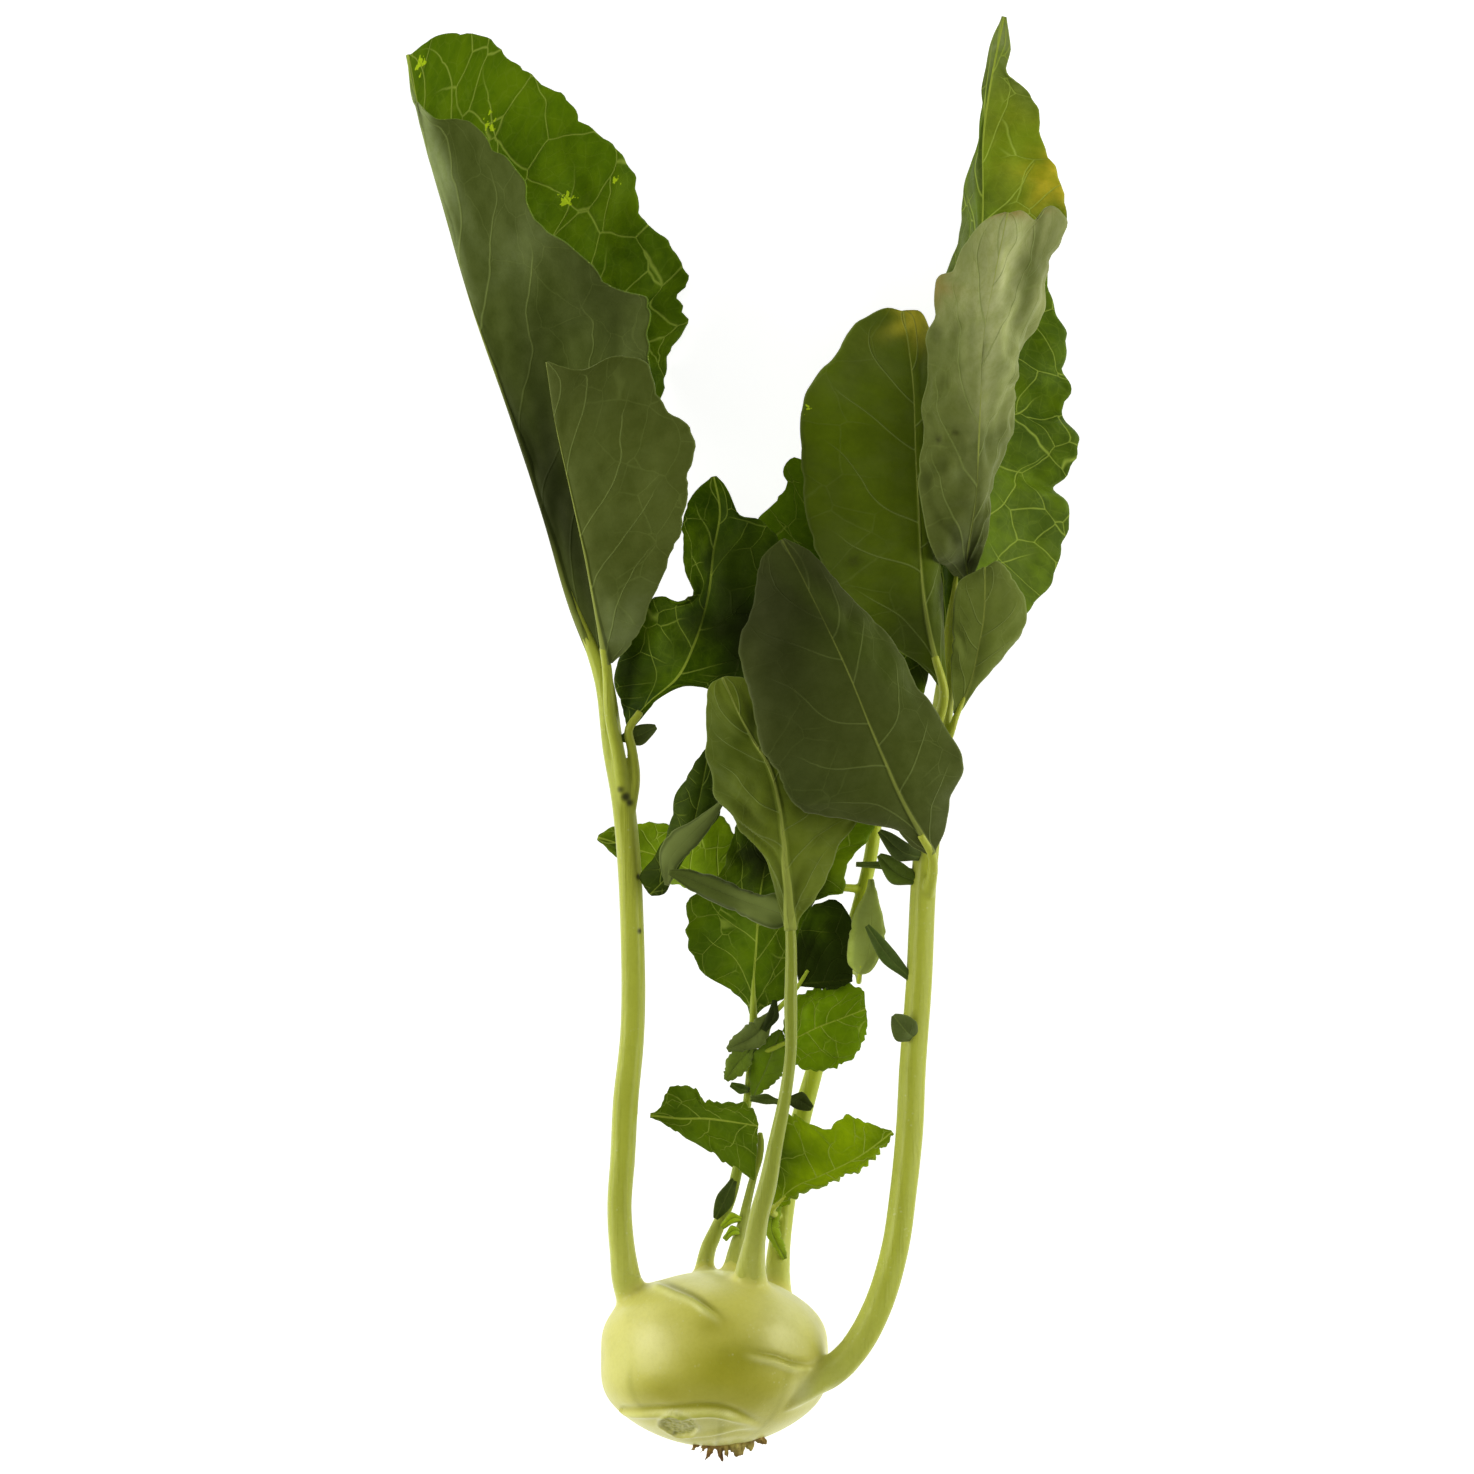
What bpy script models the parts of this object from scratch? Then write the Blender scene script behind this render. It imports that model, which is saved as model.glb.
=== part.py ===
"""Kohlrabi: a pale green stem bulb with its leaf stalks and folded leaves.

The plant lies on its back, leaves towards +Y, with the small flat spot of the
bulb on Z = 0.  Every curve below is given in millimetres.
"""

import math
from dataclasses import dataclass

import bmesh
import bpy
import numpy as np
from mathutils import Matrix, Vector

MM = 0.001

# ---- driving dimensions, in millimetres -------------------------------------
BULB_RADIUS = 37.9
BULB_HALF_HEIGHT = 29.3
BULB_CENTRE_HEIGHT = 36.9
BULB_TILT = -11.0
BULB_FLAT_CUT = 0.0
SHEET_THICKNESS = 0.8
LEAFLET_THICKNESS = 1.1
FOLD_SOFTNESS = 0.16
TIP_WIDTH = 0.8
JOINT_GAP = 0.35
STALK_SIDES = 2
BRANCH_SIDES = 1

COLLECTION = "kohlrabi"
BULB_GREEN = (0.62, 0.64, 0.22)
STALK_GREEN = (0.47, 0.56, 0.14)
LEAF_GREEN = (0.10, 0.18, 0.02)
PALE_LEAF_GREEN = (0.20, 0.26, 0.11)
ROOT_BROWN = (0.33, 0.22, 0.10)


@dataclass(frozen=True)
class Sheet:
    """A blade between two edges, all three curves running from base to tip."""

    rib: tuple
    left: tuple
    right: tuple
    rows: int = 18
    cols: int = 6
    teeth: tuple = (0, 0)
    tooth_depth: float = 0.0
    cup: tuple = (0.0, 0.0)
    ruffle: float = 0.0
    waves: float = 3.0
    rib_radius: tuple = (1.4, 0.5)
    rib_face: int = 1
    thickness: float = SHEET_THICKNESS


@dataclass(frozen=True)
class Stalk:
    """A tapered stalk with the leaflets and small branches fused to it."""

    path: tuple
    radii: tuple
    branches: tuple = ()
    leaflets: tuple = ()


# ---- the large left leaf -----------------------------------------------------
LEFT_MAIN = Sheet(
    rib=((-37, 227, 36), (-45, 246, 33), (-55, 278, 30), (-67, 313, 28),
         (-79, 346, 26), (-89, 379, 22), (-97, 407, 17), (-102, 432, 12)),
    left=((-34, 237, 40), (-30, 265, 46), (-25, 295, 50), (-23, 320, 51),
          (-21, 335, 50), (-23, 347, 48), (-33, 351, 46), (-45, 362, 43),
          (-60, 377, 38), (-63, 386, 36), (-74, 400, 29), (-84, 409, 23),
          (-93, 410, 19), (-99, 416, 15)),
    right=((-33, 240, 26), (-25, 264, 15), (-19, 290, 7), (-18, 317, 3),
           (-15, 334, 2), (-10, 346, 1.6), (-14, 352, 1.8), (-10, 357, 1.6),
           (-17, 370, 1.8), (-26, 381, 1.8), (-28, 395, 1.8), (-42, 407, 1.8),
           (-52, 419, 1.8), (-66, 429, 2), (-76, 438, 3), (-87, 440, 4),
           (-94, 438, 6)),
    rows=28, cols=8, teeth=(9, 15), tooth_depth=1.1, cup=(2.5, -2.0),
    ruffle=1.3, waves=4.0, rib_radius=(3.0, 0.7), rib_face=-1)
LEFT_FRONT = Sheet(
    rib=((-35, 229, 47), (-37, 242, 56), (-41, 263, 62), (-46, 285, 65),
         (-51, 307, 67), (-54, 326, 69)),
    left=((-34, 236, 49), (-30, 249, 52), (-25, 269, 56), (-26, 291, 57),
          (-32, 311, 59), (-44, 321, 64)),
    right=((-27, 235, 54), (-21, 247, 64), (-16, 259, 69), (-11, 272, 72),
           (-9, 287, 74), (-8, 305, 75), (-15, 309, 75), (-19, 317, 76),
           (-24, 326, 76), (-32, 327, 75), (-43, 323, 73)),
    rows=18, cols=8, teeth=(3, 10), tooth_depth=0.9, cup=(-1.0, 2.0),
    ruffle=0.8, rib_radius=(1.6, 0.5), rib_face=-1)
LEFT_LOW = Sheet(
    rib=((-28, 208, 42), (-21, 216, 42), (-12, 224, 43), (-6, 236, 44),
         (-2, 250, 45), (0, 266, 46), (2, 279, 46), (0, 290, 46)),
    left=((-30, 214, 35), (-32.5, 223, 30), (-31.5, 231, 29), (-26, 243, 31),
          (-18, 251, 35), (-12, 249, 39), (-8, 250, 42), (-9, 261, 42),
          (-10, 272, 43), (-9, 280, 44), (-5, 286, 46)),
    right=((-21, 214, 42), (-13, 220, 43), (-4, 221, 44), (5, 219, 44),
           (13, 224, 44), (16, 240, 42), (20, 258, 40), (21, 269, 41),
           (15, 276, 42), (9, 277, 44), (6, 282, 45), (3, 288, 46)),
    rows=20, cols=6, teeth=(8, 9), tooth_depth=0.7, cup=(-1.5, -1.5),
    ruffle=0.8, rib_radius=(1.5, 0.5), rib_face=-1)
LEFT_SMALL = Sheet(
    rib=((-21, 153, 41), (-16, 158, 44), (-9, 168, 46), (-5, 183, 47),
         (-1.5, 201, 47)),
    left=((-21, 157, 41), (-17.5, 166, 42), (-13.3, 178, 43), (-12.8, 185.5, 44),
          (-7.8, 192.5, 46), (-4.2, 199, 47)),
    right=((-16, 153, 41), (-9, 155, 43), (-3, 165, 45), (2, 176, 45),
           (0, 188, 46)),
    rows=14, cols=4, teeth=(3, 3), tooth_depth=0.5, cup=(1.0, 1.0),
    rib_radius=(0.7, 0.4), rib_face=-1)
LEFT_FOLD = Sheet(
    rib=((-15.4, 156.2, 43.4), (-14, 165, 50), (-8, 172, 51.5), (-2, 178, 51),
         (2.5, 183, 50)),
    left=((-17, 161, 47), (-17.4, 167, 48), (-13.6, 173.5, 49), (-8.1, 176.2, 50)),
    right=((-13.5, 158, 45.5), (-11.7, 163, 49), (-6.8, 168, 50.5),
           (-1.9, 174.2, 50.5)),
    rows=10, cols=4, teeth=(2, 2), tooth_depth=0.3, cup=(0.4, 0.4),
    rib_radius=(0.6, 0.4), rib_face=1)

# ---- the large right leaf ----------------------------------------------------
RIGHT_MAIN = Sheet(
    rib=((76, 220, 48), (78, 243, 42), (81, 270, 35), (84, 300, 30),
         (87, 332, 27), (88, 360, 25), (89, 382, 24), (89, 402, 24),
         (91, 418, 25), (96, 443, 26)),
    left=((73, 233, 40), (70, 262, 30), (70, 297, 20), (72, 327, 15),
          (76, 350, 13), (80, 363, 14), (83, 385, 16), (87, 400, 21),
          (89, 420, 24), (92, 436, 26)),
    right=((80, 219, 44), (90, 228, 32), (99, 239, 22), (106, 250, 14),
           (112, 257, 9), (116, 271, 4), (118, 284, 2), (113, 288, 1.8),
           (118, 293, 1.8), (122, 305, 1.8), (115, 312, 1.8), (119, 321, 1.8),
           (116, 328, 1.8), (118, 336, 1.6), (114, 348, 1.8), (112, 363, 2),
           (117, 379, 5), (115, 390, 8), (110, 400, 12), (107, 414, 17),
           (102, 421, 21), (97, 424, 24), (98, 434, 26)),
    rows=24, cols=8, teeth=(5, 12), tooth_depth=0.8, cup=(-1.0, -2.0),
    ruffle=1.2, waves=4.0, rib_radius=(3.0, 0.6), rib_face=-1)
RIGHT_ROLL = Sheet(
    rib=((85, 254, 29), (83, 262, 44), (85, 285, 69), (86, 310, 75),
         (87, 333, 76), (91, 355, 75), (95, 374, 73)),
    left=((76, 261, 46), (71, 266, 58), (67, 282, 63), (68, 298, 64),
          (69, 321, 64), (71, 340, 64), (73, 354, 64), (78, 355, 66),
          (82, 364, 67), (88, 372, 71)),
    right=((86, 262, 48), (89, 270, 54), (90, 282, 59), (93, 297, 59),
           (97, 314, 59), (101, 331, 57), (106, 349, 55), (111, 364, 54),
           (114, 374, 54), (109, 377, 58), (105, 372, 64), (99, 375, 70)),
    rows=14, cols=8, teeth=(4, 4), tooth_depth=0.7, cup=(2.0, 3.0),
    ruffle=1.0, waves=5.0, rib_radius=(1.2, 0.5), rib_face=1)
RIGHT_INNER = Sheet(
    rib=((75, 221, 57), (71, 235, 58), (68, 254, 56), (67, 275, 54),
         (66, 295, 52), (65, 321, 51), (62, 344, 50)),
    left=((69, 227, 56), (62, 232, 55), (54, 236, 53), (45, 246, 51),
          (38, 257, 49), (33, 268, 48), (30, 283, 47), (29, 302, 47),
          (30, 316, 47), (34, 323, 47), (40, 329, 47), (44, 337, 48),
          (52, 343, 49), (57, 345, 49)),
    right=((75, 233, 55), (75, 246, 50), (73, 262, 46), (73, 290, 45),
           (72, 315, 45), (71, 337, 47), (67, 344, 49)),
    rows=18, cols=8, teeth=(7, 2), tooth_depth=0.5, cup=(1.5, 1.5),
    ruffle=0.5, rib_radius=(1.4, 0.5), rib_face=1)
RIGHT_LOW = Sheet(
    rib=((79, 212, 53), (82, 218, 53), (84.3, 224, 53), (86, 232, 53),
         (88, 243, 53), (88.5, 260, 53)),
    left=((78.3, 218, 54), (77.8, 230, 54), (78.2, 242, 54), (81, 256, 54)),
    right=((83, 217, 52), (87, 223, 50), (93.3, 230, 49), (99, 236, 48),
           (102, 242, 47), (102, 247, 47), (100, 252, 48), (96, 259, 50),
           (92, 262, 52)),
    rows=14, cols=6, teeth=(2, 5), tooth_depth=0.6, cup=(0.0, 2.0),
    ruffle=0.5, rib_radius=(0.9, 0.4), rib_face=-1)
RIGHT_FRONT = Sheet(
    rib=((71, 167, 62), (62, 182, 72), (52, 204, 80), (43, 226, 84),
         (33, 247, 86), (27, 259, 86), (22, 268, 85)),
    left=((65, 169, 63), (59, 175, 67), (47, 177, 72), (36, 179, 75),
          (27, 182, 77), (22, 191, 78), (14, 206, 78), (13, 215, 78),
          (9, 228, 78), (9, 237, 78), (13, 247, 80), (14, 256, 82),
          (17, 264, 84)),
    right=((74, 172, 61), (77, 184, 64), (81, 195, 67), (76, 206, 71),
           (66, 221, 75), (61, 230, 77), (53, 241, 80), (44, 249, 82),
           (36, 259, 84), (28, 266, 85)),
    rows=18, cols=8, teeth=(9, 6), tooth_depth=0.6, cup=(2.0, 2.0),
    ruffle=0.7, rib_radius=(1.5, 0.5), rib_face=1)

# ---- the front leaf and the leaves behind it ---------------------------------
FRONT_MAIN = Sheet(
    rib=((25, 142, 63), (23, 165, 65), (21, 184, 66), (18, 195, 66),
         (12, 205, 64), (7, 215, 61), (3, 224, 58)),
    left=((22, 148, 61), (19, 158, 60), (16, 167, 59), (12, 174, 58),
          (6, 180, 57), (0, 187, 56), (-2, 197, 56), (-2, 215, 56),
          (-1, 222, 57)),
    right=((29, 145, 62), (35, 152, 60), (41, 157, 58), (44, 166, 57),
           (50, 175, 57), (50, 181, 57), (44, 191, 58), (35, 201, 58),
           (25, 211, 58), (16, 219, 58), (9, 224, 58)),
    rows=18, cols=8, teeth=(4, 7), tooth_depth=0.6, cup=(1.5, 1.5),
    ruffle=0.6, rib_radius=(1.8, 0.5), rib_face=1)
FRONT_CURL = Sheet(
    rib=((26, 146, 62.8), (20, 148.5, 60), (15, 150, 58), (8, 152, 56), (-2, 157, 54),
         (-9, 160, 53), (-15, 162, 53)),
    left=((21, 153, 60.5), (14, 157, 57), (8, 157, 55), (1, 158, 54),
          (-5, 161, 53), (-11, 163, 53)),
    right=((20, 144, 58), (12, 147, 56), (4, 150, 54), (-4, 155, 53),
           (-11, 159, 53)),
    rows=12, cols=4, teeth=(3, 2), tooth_depth=0.4, cup=(1.0, 1.0),
    rib_radius=(0.7, 0.4), rib_face=-1)
BACK_RIGHT = Sheet(
    rib=((51, 220, 26), (44, 247, 28), (36, 271, 29), (30, 296, 30)),
    left=((44, 224, 22), (33, 243, 22), (23, 262, 24), (15, 276, 26),
          (20, 282, 27), (24, 287, 28), (23, 293, 29), (27, 297, 30)),
    right=((60, 217, 24), (69, 218, 26), (71, 228, 27), (68, 240, 25),
           (62, 252, 24), (54, 270, 24), (47, 287, 27), (38, 296, 29)),
    rows=15, cols=6, teeth=(8, 5), tooth_depth=0.8, cup=(1.0, 1.0),
    ruffle=0.8, rib_radius=(1.6, 0.5), rib_face=-1)
BACK_LEFT = Sheet(
    rib=((13, 113, 32), (13, 123, 33), (14, 136, 34), (15, 151, 35),
         (18, 167, 36), (24, 186, 36), (29, 203, 36)),
    left=((11, 116, 31), (4, 122, 30), (-4, 127, 29), (-8, 134, 28),
          (-9, 142, 28), (-8, 150, 29), (-1, 156, 30), (4, 165, 31),
          (8, 179, 32), (15, 194, 33), (22, 203, 35)),
    right=((16, 115, 31), (24, 119, 30), (28, 130, 30), (29, 143, 31),
           (33, 151, 31), (43, 154, 30), (44, 163, 30), (52, 173, 30),
           (52, 187, 31), (45, 199, 32), (37, 205, 34)),
    rows=18, cols=6, teeth=(9, 8), tooth_depth=0.7, cup=(-1.0, -1.0),
    ruffle=0.7, rib_radius=(1.3, 0.5), rib_face=-1)
BACK_LOW = Sheet(
    rib=((16, 153, 25), (7, 156, 21), (-5, 159, 15), (-16, 164, 9),
         (-26, 167, 5), (-39, 171, 3)),
    left=((14, 152, 24), (5, 152, 20), (-5, 154, 14), (-15, 156, 8),
          (-25, 160, 4), (-33, 165, 3)),
    right=((19, 161, 22), (17, 169, 20), (11, 173, 18), (7, 172, 17),
           (3, 178, 15), (-5, 177, 11), (-13, 175, 7), (-20, 176, 5),
           (-27, 175, 3), (-35, 174, 2)),
    rows=16, cols=6, teeth=(4, 7), tooth_depth=0.5, cup=(1.0, 1.0),
    ruffle=0.5, rib_radius=(1.0, 0.4), rib_face=-1)
MIDDLE_ROUND = Sheet(
    rib=((24, 104, 34), (28, 106, 35), (34, 109, 36), (42, 112, 36),
         (50, 115, 35)),
    left=((23, 110, 34), (26, 118, 34), (32, 121, 34), (42, 123, 34),
          (49, 121, 34)),
    right=((25, 99, 33), (28, 96, 32), (36, 95, 32), (44, 98, 33),
           (50, 107, 34)),
    rows=14, cols=6, teeth=(5, 7), tooth_depth=0.6, cup=(0.8, 0.8),
    ruffle=0.6, rib_radius=(0.8, 0.4), rib_face=-1)
MIDDLE_DARK = Sheet(
    rib=((28, 123, 38), (33, 131, 38), (37, 140, 38), (41, 150, 38)),
    left=((27, 131, 38), (29, 140, 37), (34, 149, 37)),
    right=((35, 123, 38), (43, 124, 38), (45, 134, 38), (44, 148, 38)),
    rows=12, cols=4, teeth=(3, 4), tooth_depth=0.6, cup=(-0.8, -0.8),
    rib_radius=(0.7, 0.4), rib_face=-1)
MIDDLE_CURLED = Sheet(
    rib=((47.8, 127, 44), (49, 135, 46), (51, 146, 47), (52, 158, 46)),
    left=((45, 131, 43), (46, 138, 44), (48, 148, 45)),
    right=((49, 127, 43), (53, 136, 43), (54, 147, 44)),
    rows=12, cols=4, teeth=(2, 3), tooth_depth=0.4, cup=(0.8, 0.8),
    rib_radius=(0.7, 0.4), rib_face=1)
BOTTOM_LEFT = Sheet(
    rib=((14.6, 76.4, 34), (5, 78, 35), (-3, 79, 36), (-11, 79, 36),
         (-21, 80, 35)),
    left=((14, 68, 33), (13, 59, 32), (7, 63, 33), (1, 66, 33),
          (-6, 71, 34), (-13, 75, 35), (-18, 78, 35)),
    right=((12, 83, 34), (4, 84, 34), (-3, 85, 35), (-7, 89, 35),
           (-12, 90, 35), (-16, 87, 35), (-18, 82, 35)),
    rows=16, cols=6, teeth=(5, 6), tooth_depth=0.5, cup=(-0.8, -0.8),
    ruffle=0.5, rib_radius=(0.8, 0.4), rib_face=-1)
BOTTOM_RIGHT = Sheet(
    rib=((20, 50, 26), (27, 56, 28), (36, 60, 29), (48, 66, 29),
         (59, 74, 28)),
    left=((18, 61, 26), (20, 74, 27), (25, 80, 27), (32, 76, 28),
          (39, 76, 28), (44, 79, 28), (53, 76, 28)),
    right=((24, 50, 26), (29, 54, 27), (36, 57, 27), (44, 60, 28),
           (50, 63, 28), (56, 69, 28)),
    rows=18, cols=6, teeth=(8, 6), tooth_depth=0.7, cup=(0.8, 0.8),
    ruffle=0.7, rib_radius=(0.8, 0.4), rib_face=-1)

BLADES = (
    ("blade_left_main", LEAF_GREEN, (LEFT_MAIN,)),
    ("blade_left_front", PALE_LEAF_GREEN, (LEFT_FRONT,)),
    ("blade_left_low", LEAF_GREEN, (LEFT_LOW,)),
    ("blade_left_small", LEAF_GREEN, (LEFT_SMALL, LEFT_FOLD)),
    ("blade_right_main", LEAF_GREEN, (RIGHT_MAIN, RIGHT_ROLL)),
    ("blade_right_inner", PALE_LEAF_GREEN, (RIGHT_INNER,)),
    ("blade_right_low", PALE_LEAF_GREEN, (RIGHT_LOW,)),
    ("blade_right_front", PALE_LEAF_GREEN, (RIGHT_FRONT,)),
    ("blade_front_main", PALE_LEAF_GREEN, (FRONT_MAIN, FRONT_CURL)),
    ("blade_back_right", LEAF_GREEN, (BACK_RIGHT,)),
    ("blade_back_left", LEAF_GREEN, (BACK_LEFT,)),
    ("blade_back_low", LEAF_GREEN, (BACK_LOW,)),
    ("blade_middle_round", LEAF_GREEN, (MIDDLE_ROUND,)),
    ("blade_middle_dark", LEAF_GREEN, (MIDDLE_DARK,)),
    ("blade_middle_curled", PALE_LEAF_GREEN, (MIDDLE_CURLED,)),
    ("blade_bottom_left", LEAF_GREEN, (BOTTOM_LEFT,)),
    ("blade_bottom_right", LEAF_GREEN, (BOTTOM_RIGHT,)),
)

# ---- stalks ------------------------------------------------------------------
# A leaflet is its root, its middle, its tip and its half width.
STALKS = (
    ("stalk_left", Stalk(
        path=((-22, 12, 41), (-28, 24, 43), (-30, 36, 44), (-31, 50, 44),
              (-30, 66, 43), (-29, 85, 42), (-27, 105, 41), (-27, 144, 39),
              (-28, 164, 38), (-30, 184, 38), (-33, 200, 37), (-37, 225.5, 36)),
        radii=(6.5, 5.0, 4.2, 4.0, 4.1, 4.2, 4.0, 3.9, 3.9, 3.8, 3.6, 3.0),
        branches=((((-29, 179, 39), (-31, 197, 42), (-34, 212, 44),
                    (-35, 227, 46)), (2.6, 1.6)),
                  (((-28, 179, 39), (-26, 192, 40), (-27, 201, 41),
                    (-28, 206.5, 42)), (2.2, 1.4))),
        leaflets=(((-31, 204, 37), (-25, 205, 38), (-19, 208, 38), 3.0),))),
    ("stalk_right", Stalk(
        path=((28, -5, 49), (37, -3, 55), (44, 3, 57), (49, 10, 57),
              (53, 18, 57), (59, 37, 55), (62, 57, 54), (64, 76, 52),
              (65, 96, 51), (67, 122, 50), (69, 161, 49), (71, 181, 49),
              (73, 200, 49), (75.5, 218, 48)),
        radii=(6.5, 5.2, 4.8, 4.8, 4.7, 4.5, 4.4, 4.5, 4.4, 4.3, 4.2, 4.1,
               3.9, 3.4),
        branches=((((71, 190, 49), (72, 205, 53), (75, 219, 57)), (2.4, 1.4)),
                  (((73, 197, 49), (77, 205, 52), (79, 211, 53)), (1.8, 0.9)),
                  (((69, 150, 49), (71, 158, 55), (71, 166, 61)), (2.2, 1.5))),
        leaflets=(((66, 124, 51), (57, 133, 52), (50, 143, 52), 2.6),
                  ((66, 106, 53), (62.5, 109, 57), (58.5, 114, 57), 3.8),
                  ((69, 165, 51), (61, 167.5, 56), (54, 174, 56), 3.0),
                  ((68, 157, 50), (60, 160, 52), (54, 166, 51), 3.2),
                  ((68, 160, 50), (57, 162.5, 49), (46.5, 163, 49), 1.0)))),
    ("stalk_front", Stalk(
        path=((12, 20, 47), (12, 31, 54), (13, 38, 57), (15, 50, 60),
              (17, 57, 61), (20, 72, 63), (23, 87, 64), (25, 102, 64),
              (25, 117, 64), (25, 141, 63)),
        radii=(6.5, 5.2, 3.7, 3.2, 3.1, 2.5, 2.1, 1.9, 2.2, 1.8),
        leaflets=(((23, 87, 64), (28, 86.5, 62), (32, 84, 62), 2.6),
                  ((22, 86, 64), (17, 87, 62), (12, 87, 61), 1.3)))),
    ("stalk_back_right", Stalk(
        path=((21, 16, 26), (21, 29, 18), (22, 39, 15), (24, 54, 13),
              (28, 74, 12), (34, 96, 12), (40, 119, 13), (45, 137, 14),
              (52, 165, 16), (54, 180, 17), (55, 197, 19), (51.3, 219, 26)),
        radii=(5.0, 4.0, 3.6, 3.6, 3.4, 2.9, 2.6, 2.4, 2.3, 2.2, 2.0, 1.7),
        branches=((((23, 44, 14), (20, 46, 19), (19.2, 48, 24.4)), (1.8, 0.9)),
                  (((42, 128, 14), (47, 127, 26), (47.8, 125.6, 42.8)),
                   (1.6, 0.8)),
                  (((50, 154, 15), (34, 155, 21), (17, 153, 25)), (1.5, 1.0))),
        leaflets=(((23, 52, 14), (18, 46, 21), (23, 36, 22), 2.4),))),
    ("stalk_back_left", Stalk(
        path=((-4, 22, 30), (-2, 35, 25), (1, 42, 24), (5, 51, 24),
              (8, 63, 26), (10, 76, 28), (12, 95, 30), (13, 112.4, 32)),
        radii=(3.6, 2.6, 2.3, 2.0, 1.8, 1.6, 1.4, 1.4),
        branches=((((12, 100, 30), (17, 101, 33), (23.5, 103.8, 34)),
                   (1.2, 0.9)),
                  (((13, 108, 31), (20, 114, 36), (27.7, 122.7, 38)),
                   (1.2, 0.8))),
        leaflets=(((7, 61, 26), (3.5, 53, 29), (1, 46.5, 29), 2.6),
                  ((13, 103, 31), (8.5, 105, 35), (5, 110, 34), 3.0),
                  ((12, 92, 30), (17, 98, 37), (21, 105, 37), 4.0),
                  ((13, 107, 31), (18.5, 110, 36), (20.5, 117, 38), 1.8),
                  ((12, 92, 30), (8, 95, 33), (5, 99, 33), 2.8)))),
    ("stalk_back_middle", Stalk(
        path=((5, 22, 34), (7, 34, 33), (9, 42, 31), (11, 51, 28),
              (13, 59, 27), (15, 66, 28), (15.4, 71, 30), (15.2, 74, 31.2)),
        radii=(3.8, 2.8, 1.9, 1.5, 1.3, 1.3, 1.2, 0.9),
        leaflets=(((10, 45, 30), (6, 46, 32), (2, 48, 33), 1.6),
                  ((9, 40, 31), (6, 42, 34), (3, 43, 34), 1.4)))),
)

# ---- bulb relief: centre x, y, z in the bulb, spread and height --------------
STALK_SWELLINGS = (
    ((-25, 19, 6), 7.0, 2.4),
    ((33, 0, 18), 7.5, 2.4),
    ((12, 25, 18), 6.5, 2.2),
    ((20, 24, -14), 6.5, 1.8),
    ((-3, 28, -8), 5.5, 1.5),
    ((6, 28, -3), 5.5, 1.5),
)
RAISED_LIP = ((-21, 19), (-14, 16), (-6, 13), (1, 7), (7, 1), (13, -1),
              (20, -2), (28, -2))
ROOT_LIP = ((-26, -16), (-18, -17), (-6, -16), (6, -19), (14, -23))
LIP_WIDTH = 2.6
LIP_HEIGHT = 1.1

# A chip of root is its base, its tip and the radius of its base.
ROOT_CHIPS = (
    ((6, -23, 42), (9, -31, 43), 5.0),
    ((1, -23, 42), (3, -32.5, 41), 4.4),
    ((-3, -23, 41), (-4, -32, 41), 4.2),
    ((-5, -23, 41), (-8, -30, 42), 3.8),
    ((10, -22, 41), (14, -30, 42), 4.0),
)


def clear_scene():
    """Take every object out of the open file."""
    for item in list(bpy.data.objects):
        bpy.data.objects.remove(item, do_unlink=True)


def make_collection(name):
    """A collection of that name, linked to the scene."""
    group = bpy.data.collections.get(name) or bpy.data.collections.new(name)
    if name not in bpy.context.scene.collection.children:
        bpy.context.scene.collection.children.link(group)
    return group


def make_material(name, colour, roughness):
    """A plain Principled material."""
    material = bpy.data.materials.get(name)
    if material:
        return material
    material = bpy.data.materials.new(name)
    material.use_nodes = True
    shader = material.node_tree.nodes["Principled BSDF"]
    shader.inputs["Base Color"].default_value = (*colour, 1.0)
    shader.inputs["Roughness"].default_value = roughness
    shader.inputs["Metallic"].default_value = 0.0
    material.diffuse_color = (*colour, 1.0)
    return material


def make_object(name, mesh, group):
    """An object around a mesh, in a collection."""
    item = bpy.data.objects.new(name, mesh)
    group.objects.link(item)
    return item


def apply_modifiers(item):
    """Replace an object's mesh by the one its modifiers give."""
    graph = bpy.context.evaluated_depsgraph_get()
    mesh = bpy.data.meshes.new_from_object(item.evaluated_get(graph))
    item.modifiers.clear()
    item.data = mesh


def curve_at(points, t):
    """Points of a smooth curve through the given ones, t from 0 to 1."""
    p = np.array(points, float)
    lengths = np.linalg.norm(np.diff(p, axis=0), axis=1)
    knots = np.concatenate(([0.0], np.cumsum(lengths)))
    knots /= knots[-1]
    slopes = np.gradient(p, knots, axis=0)
    t = np.atleast_1d(t)
    i = np.clip(np.searchsorted(knots, t, side="right") - 1, 0, len(p) - 2)
    step = (knots[i + 1] - knots[i])[:, None]
    s = (t - knots[i])[:, None] / step
    return ((2 * s**3 - 3 * s**2 + 1) * p[i]
            + (s**3 - 2 * s**2 + s) * step * slopes[i]
            + (3 * s**2 - 2 * s**3) * p[i + 1]
            + (s**3 - s**2) * step * slopes[i + 1])


def unit(vectors):
    """Vectors at length one."""
    size = np.linalg.norm(vectors, axis=-1, keepdims=True)
    return vectors / np.maximum(size, 1e-9)


def beside(end, inner, near, width):
    """A point beside the end of a rib, on the side of a nearby point."""
    along = unit(inner - end)
    aside = near - end
    return end + width * unit(aside - np.dot(aside, along) * along)


def full_edge(sheet, side):
    """An edge with its two ends set beside the rib's ends."""
    rib = np.array(sheet.rib, float)
    edge = np.array((sheet.left, sheet.right)[side], float)
    first = beside(rib[0], rib[1], edge[0], max(sheet.rib_radius[0], TIP_WIDTH))
    last = beside(rib[-1], rib[-2], edge[-1], TIP_WIDTH)
    return np.concatenate(([first], edge, [last]))


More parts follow.
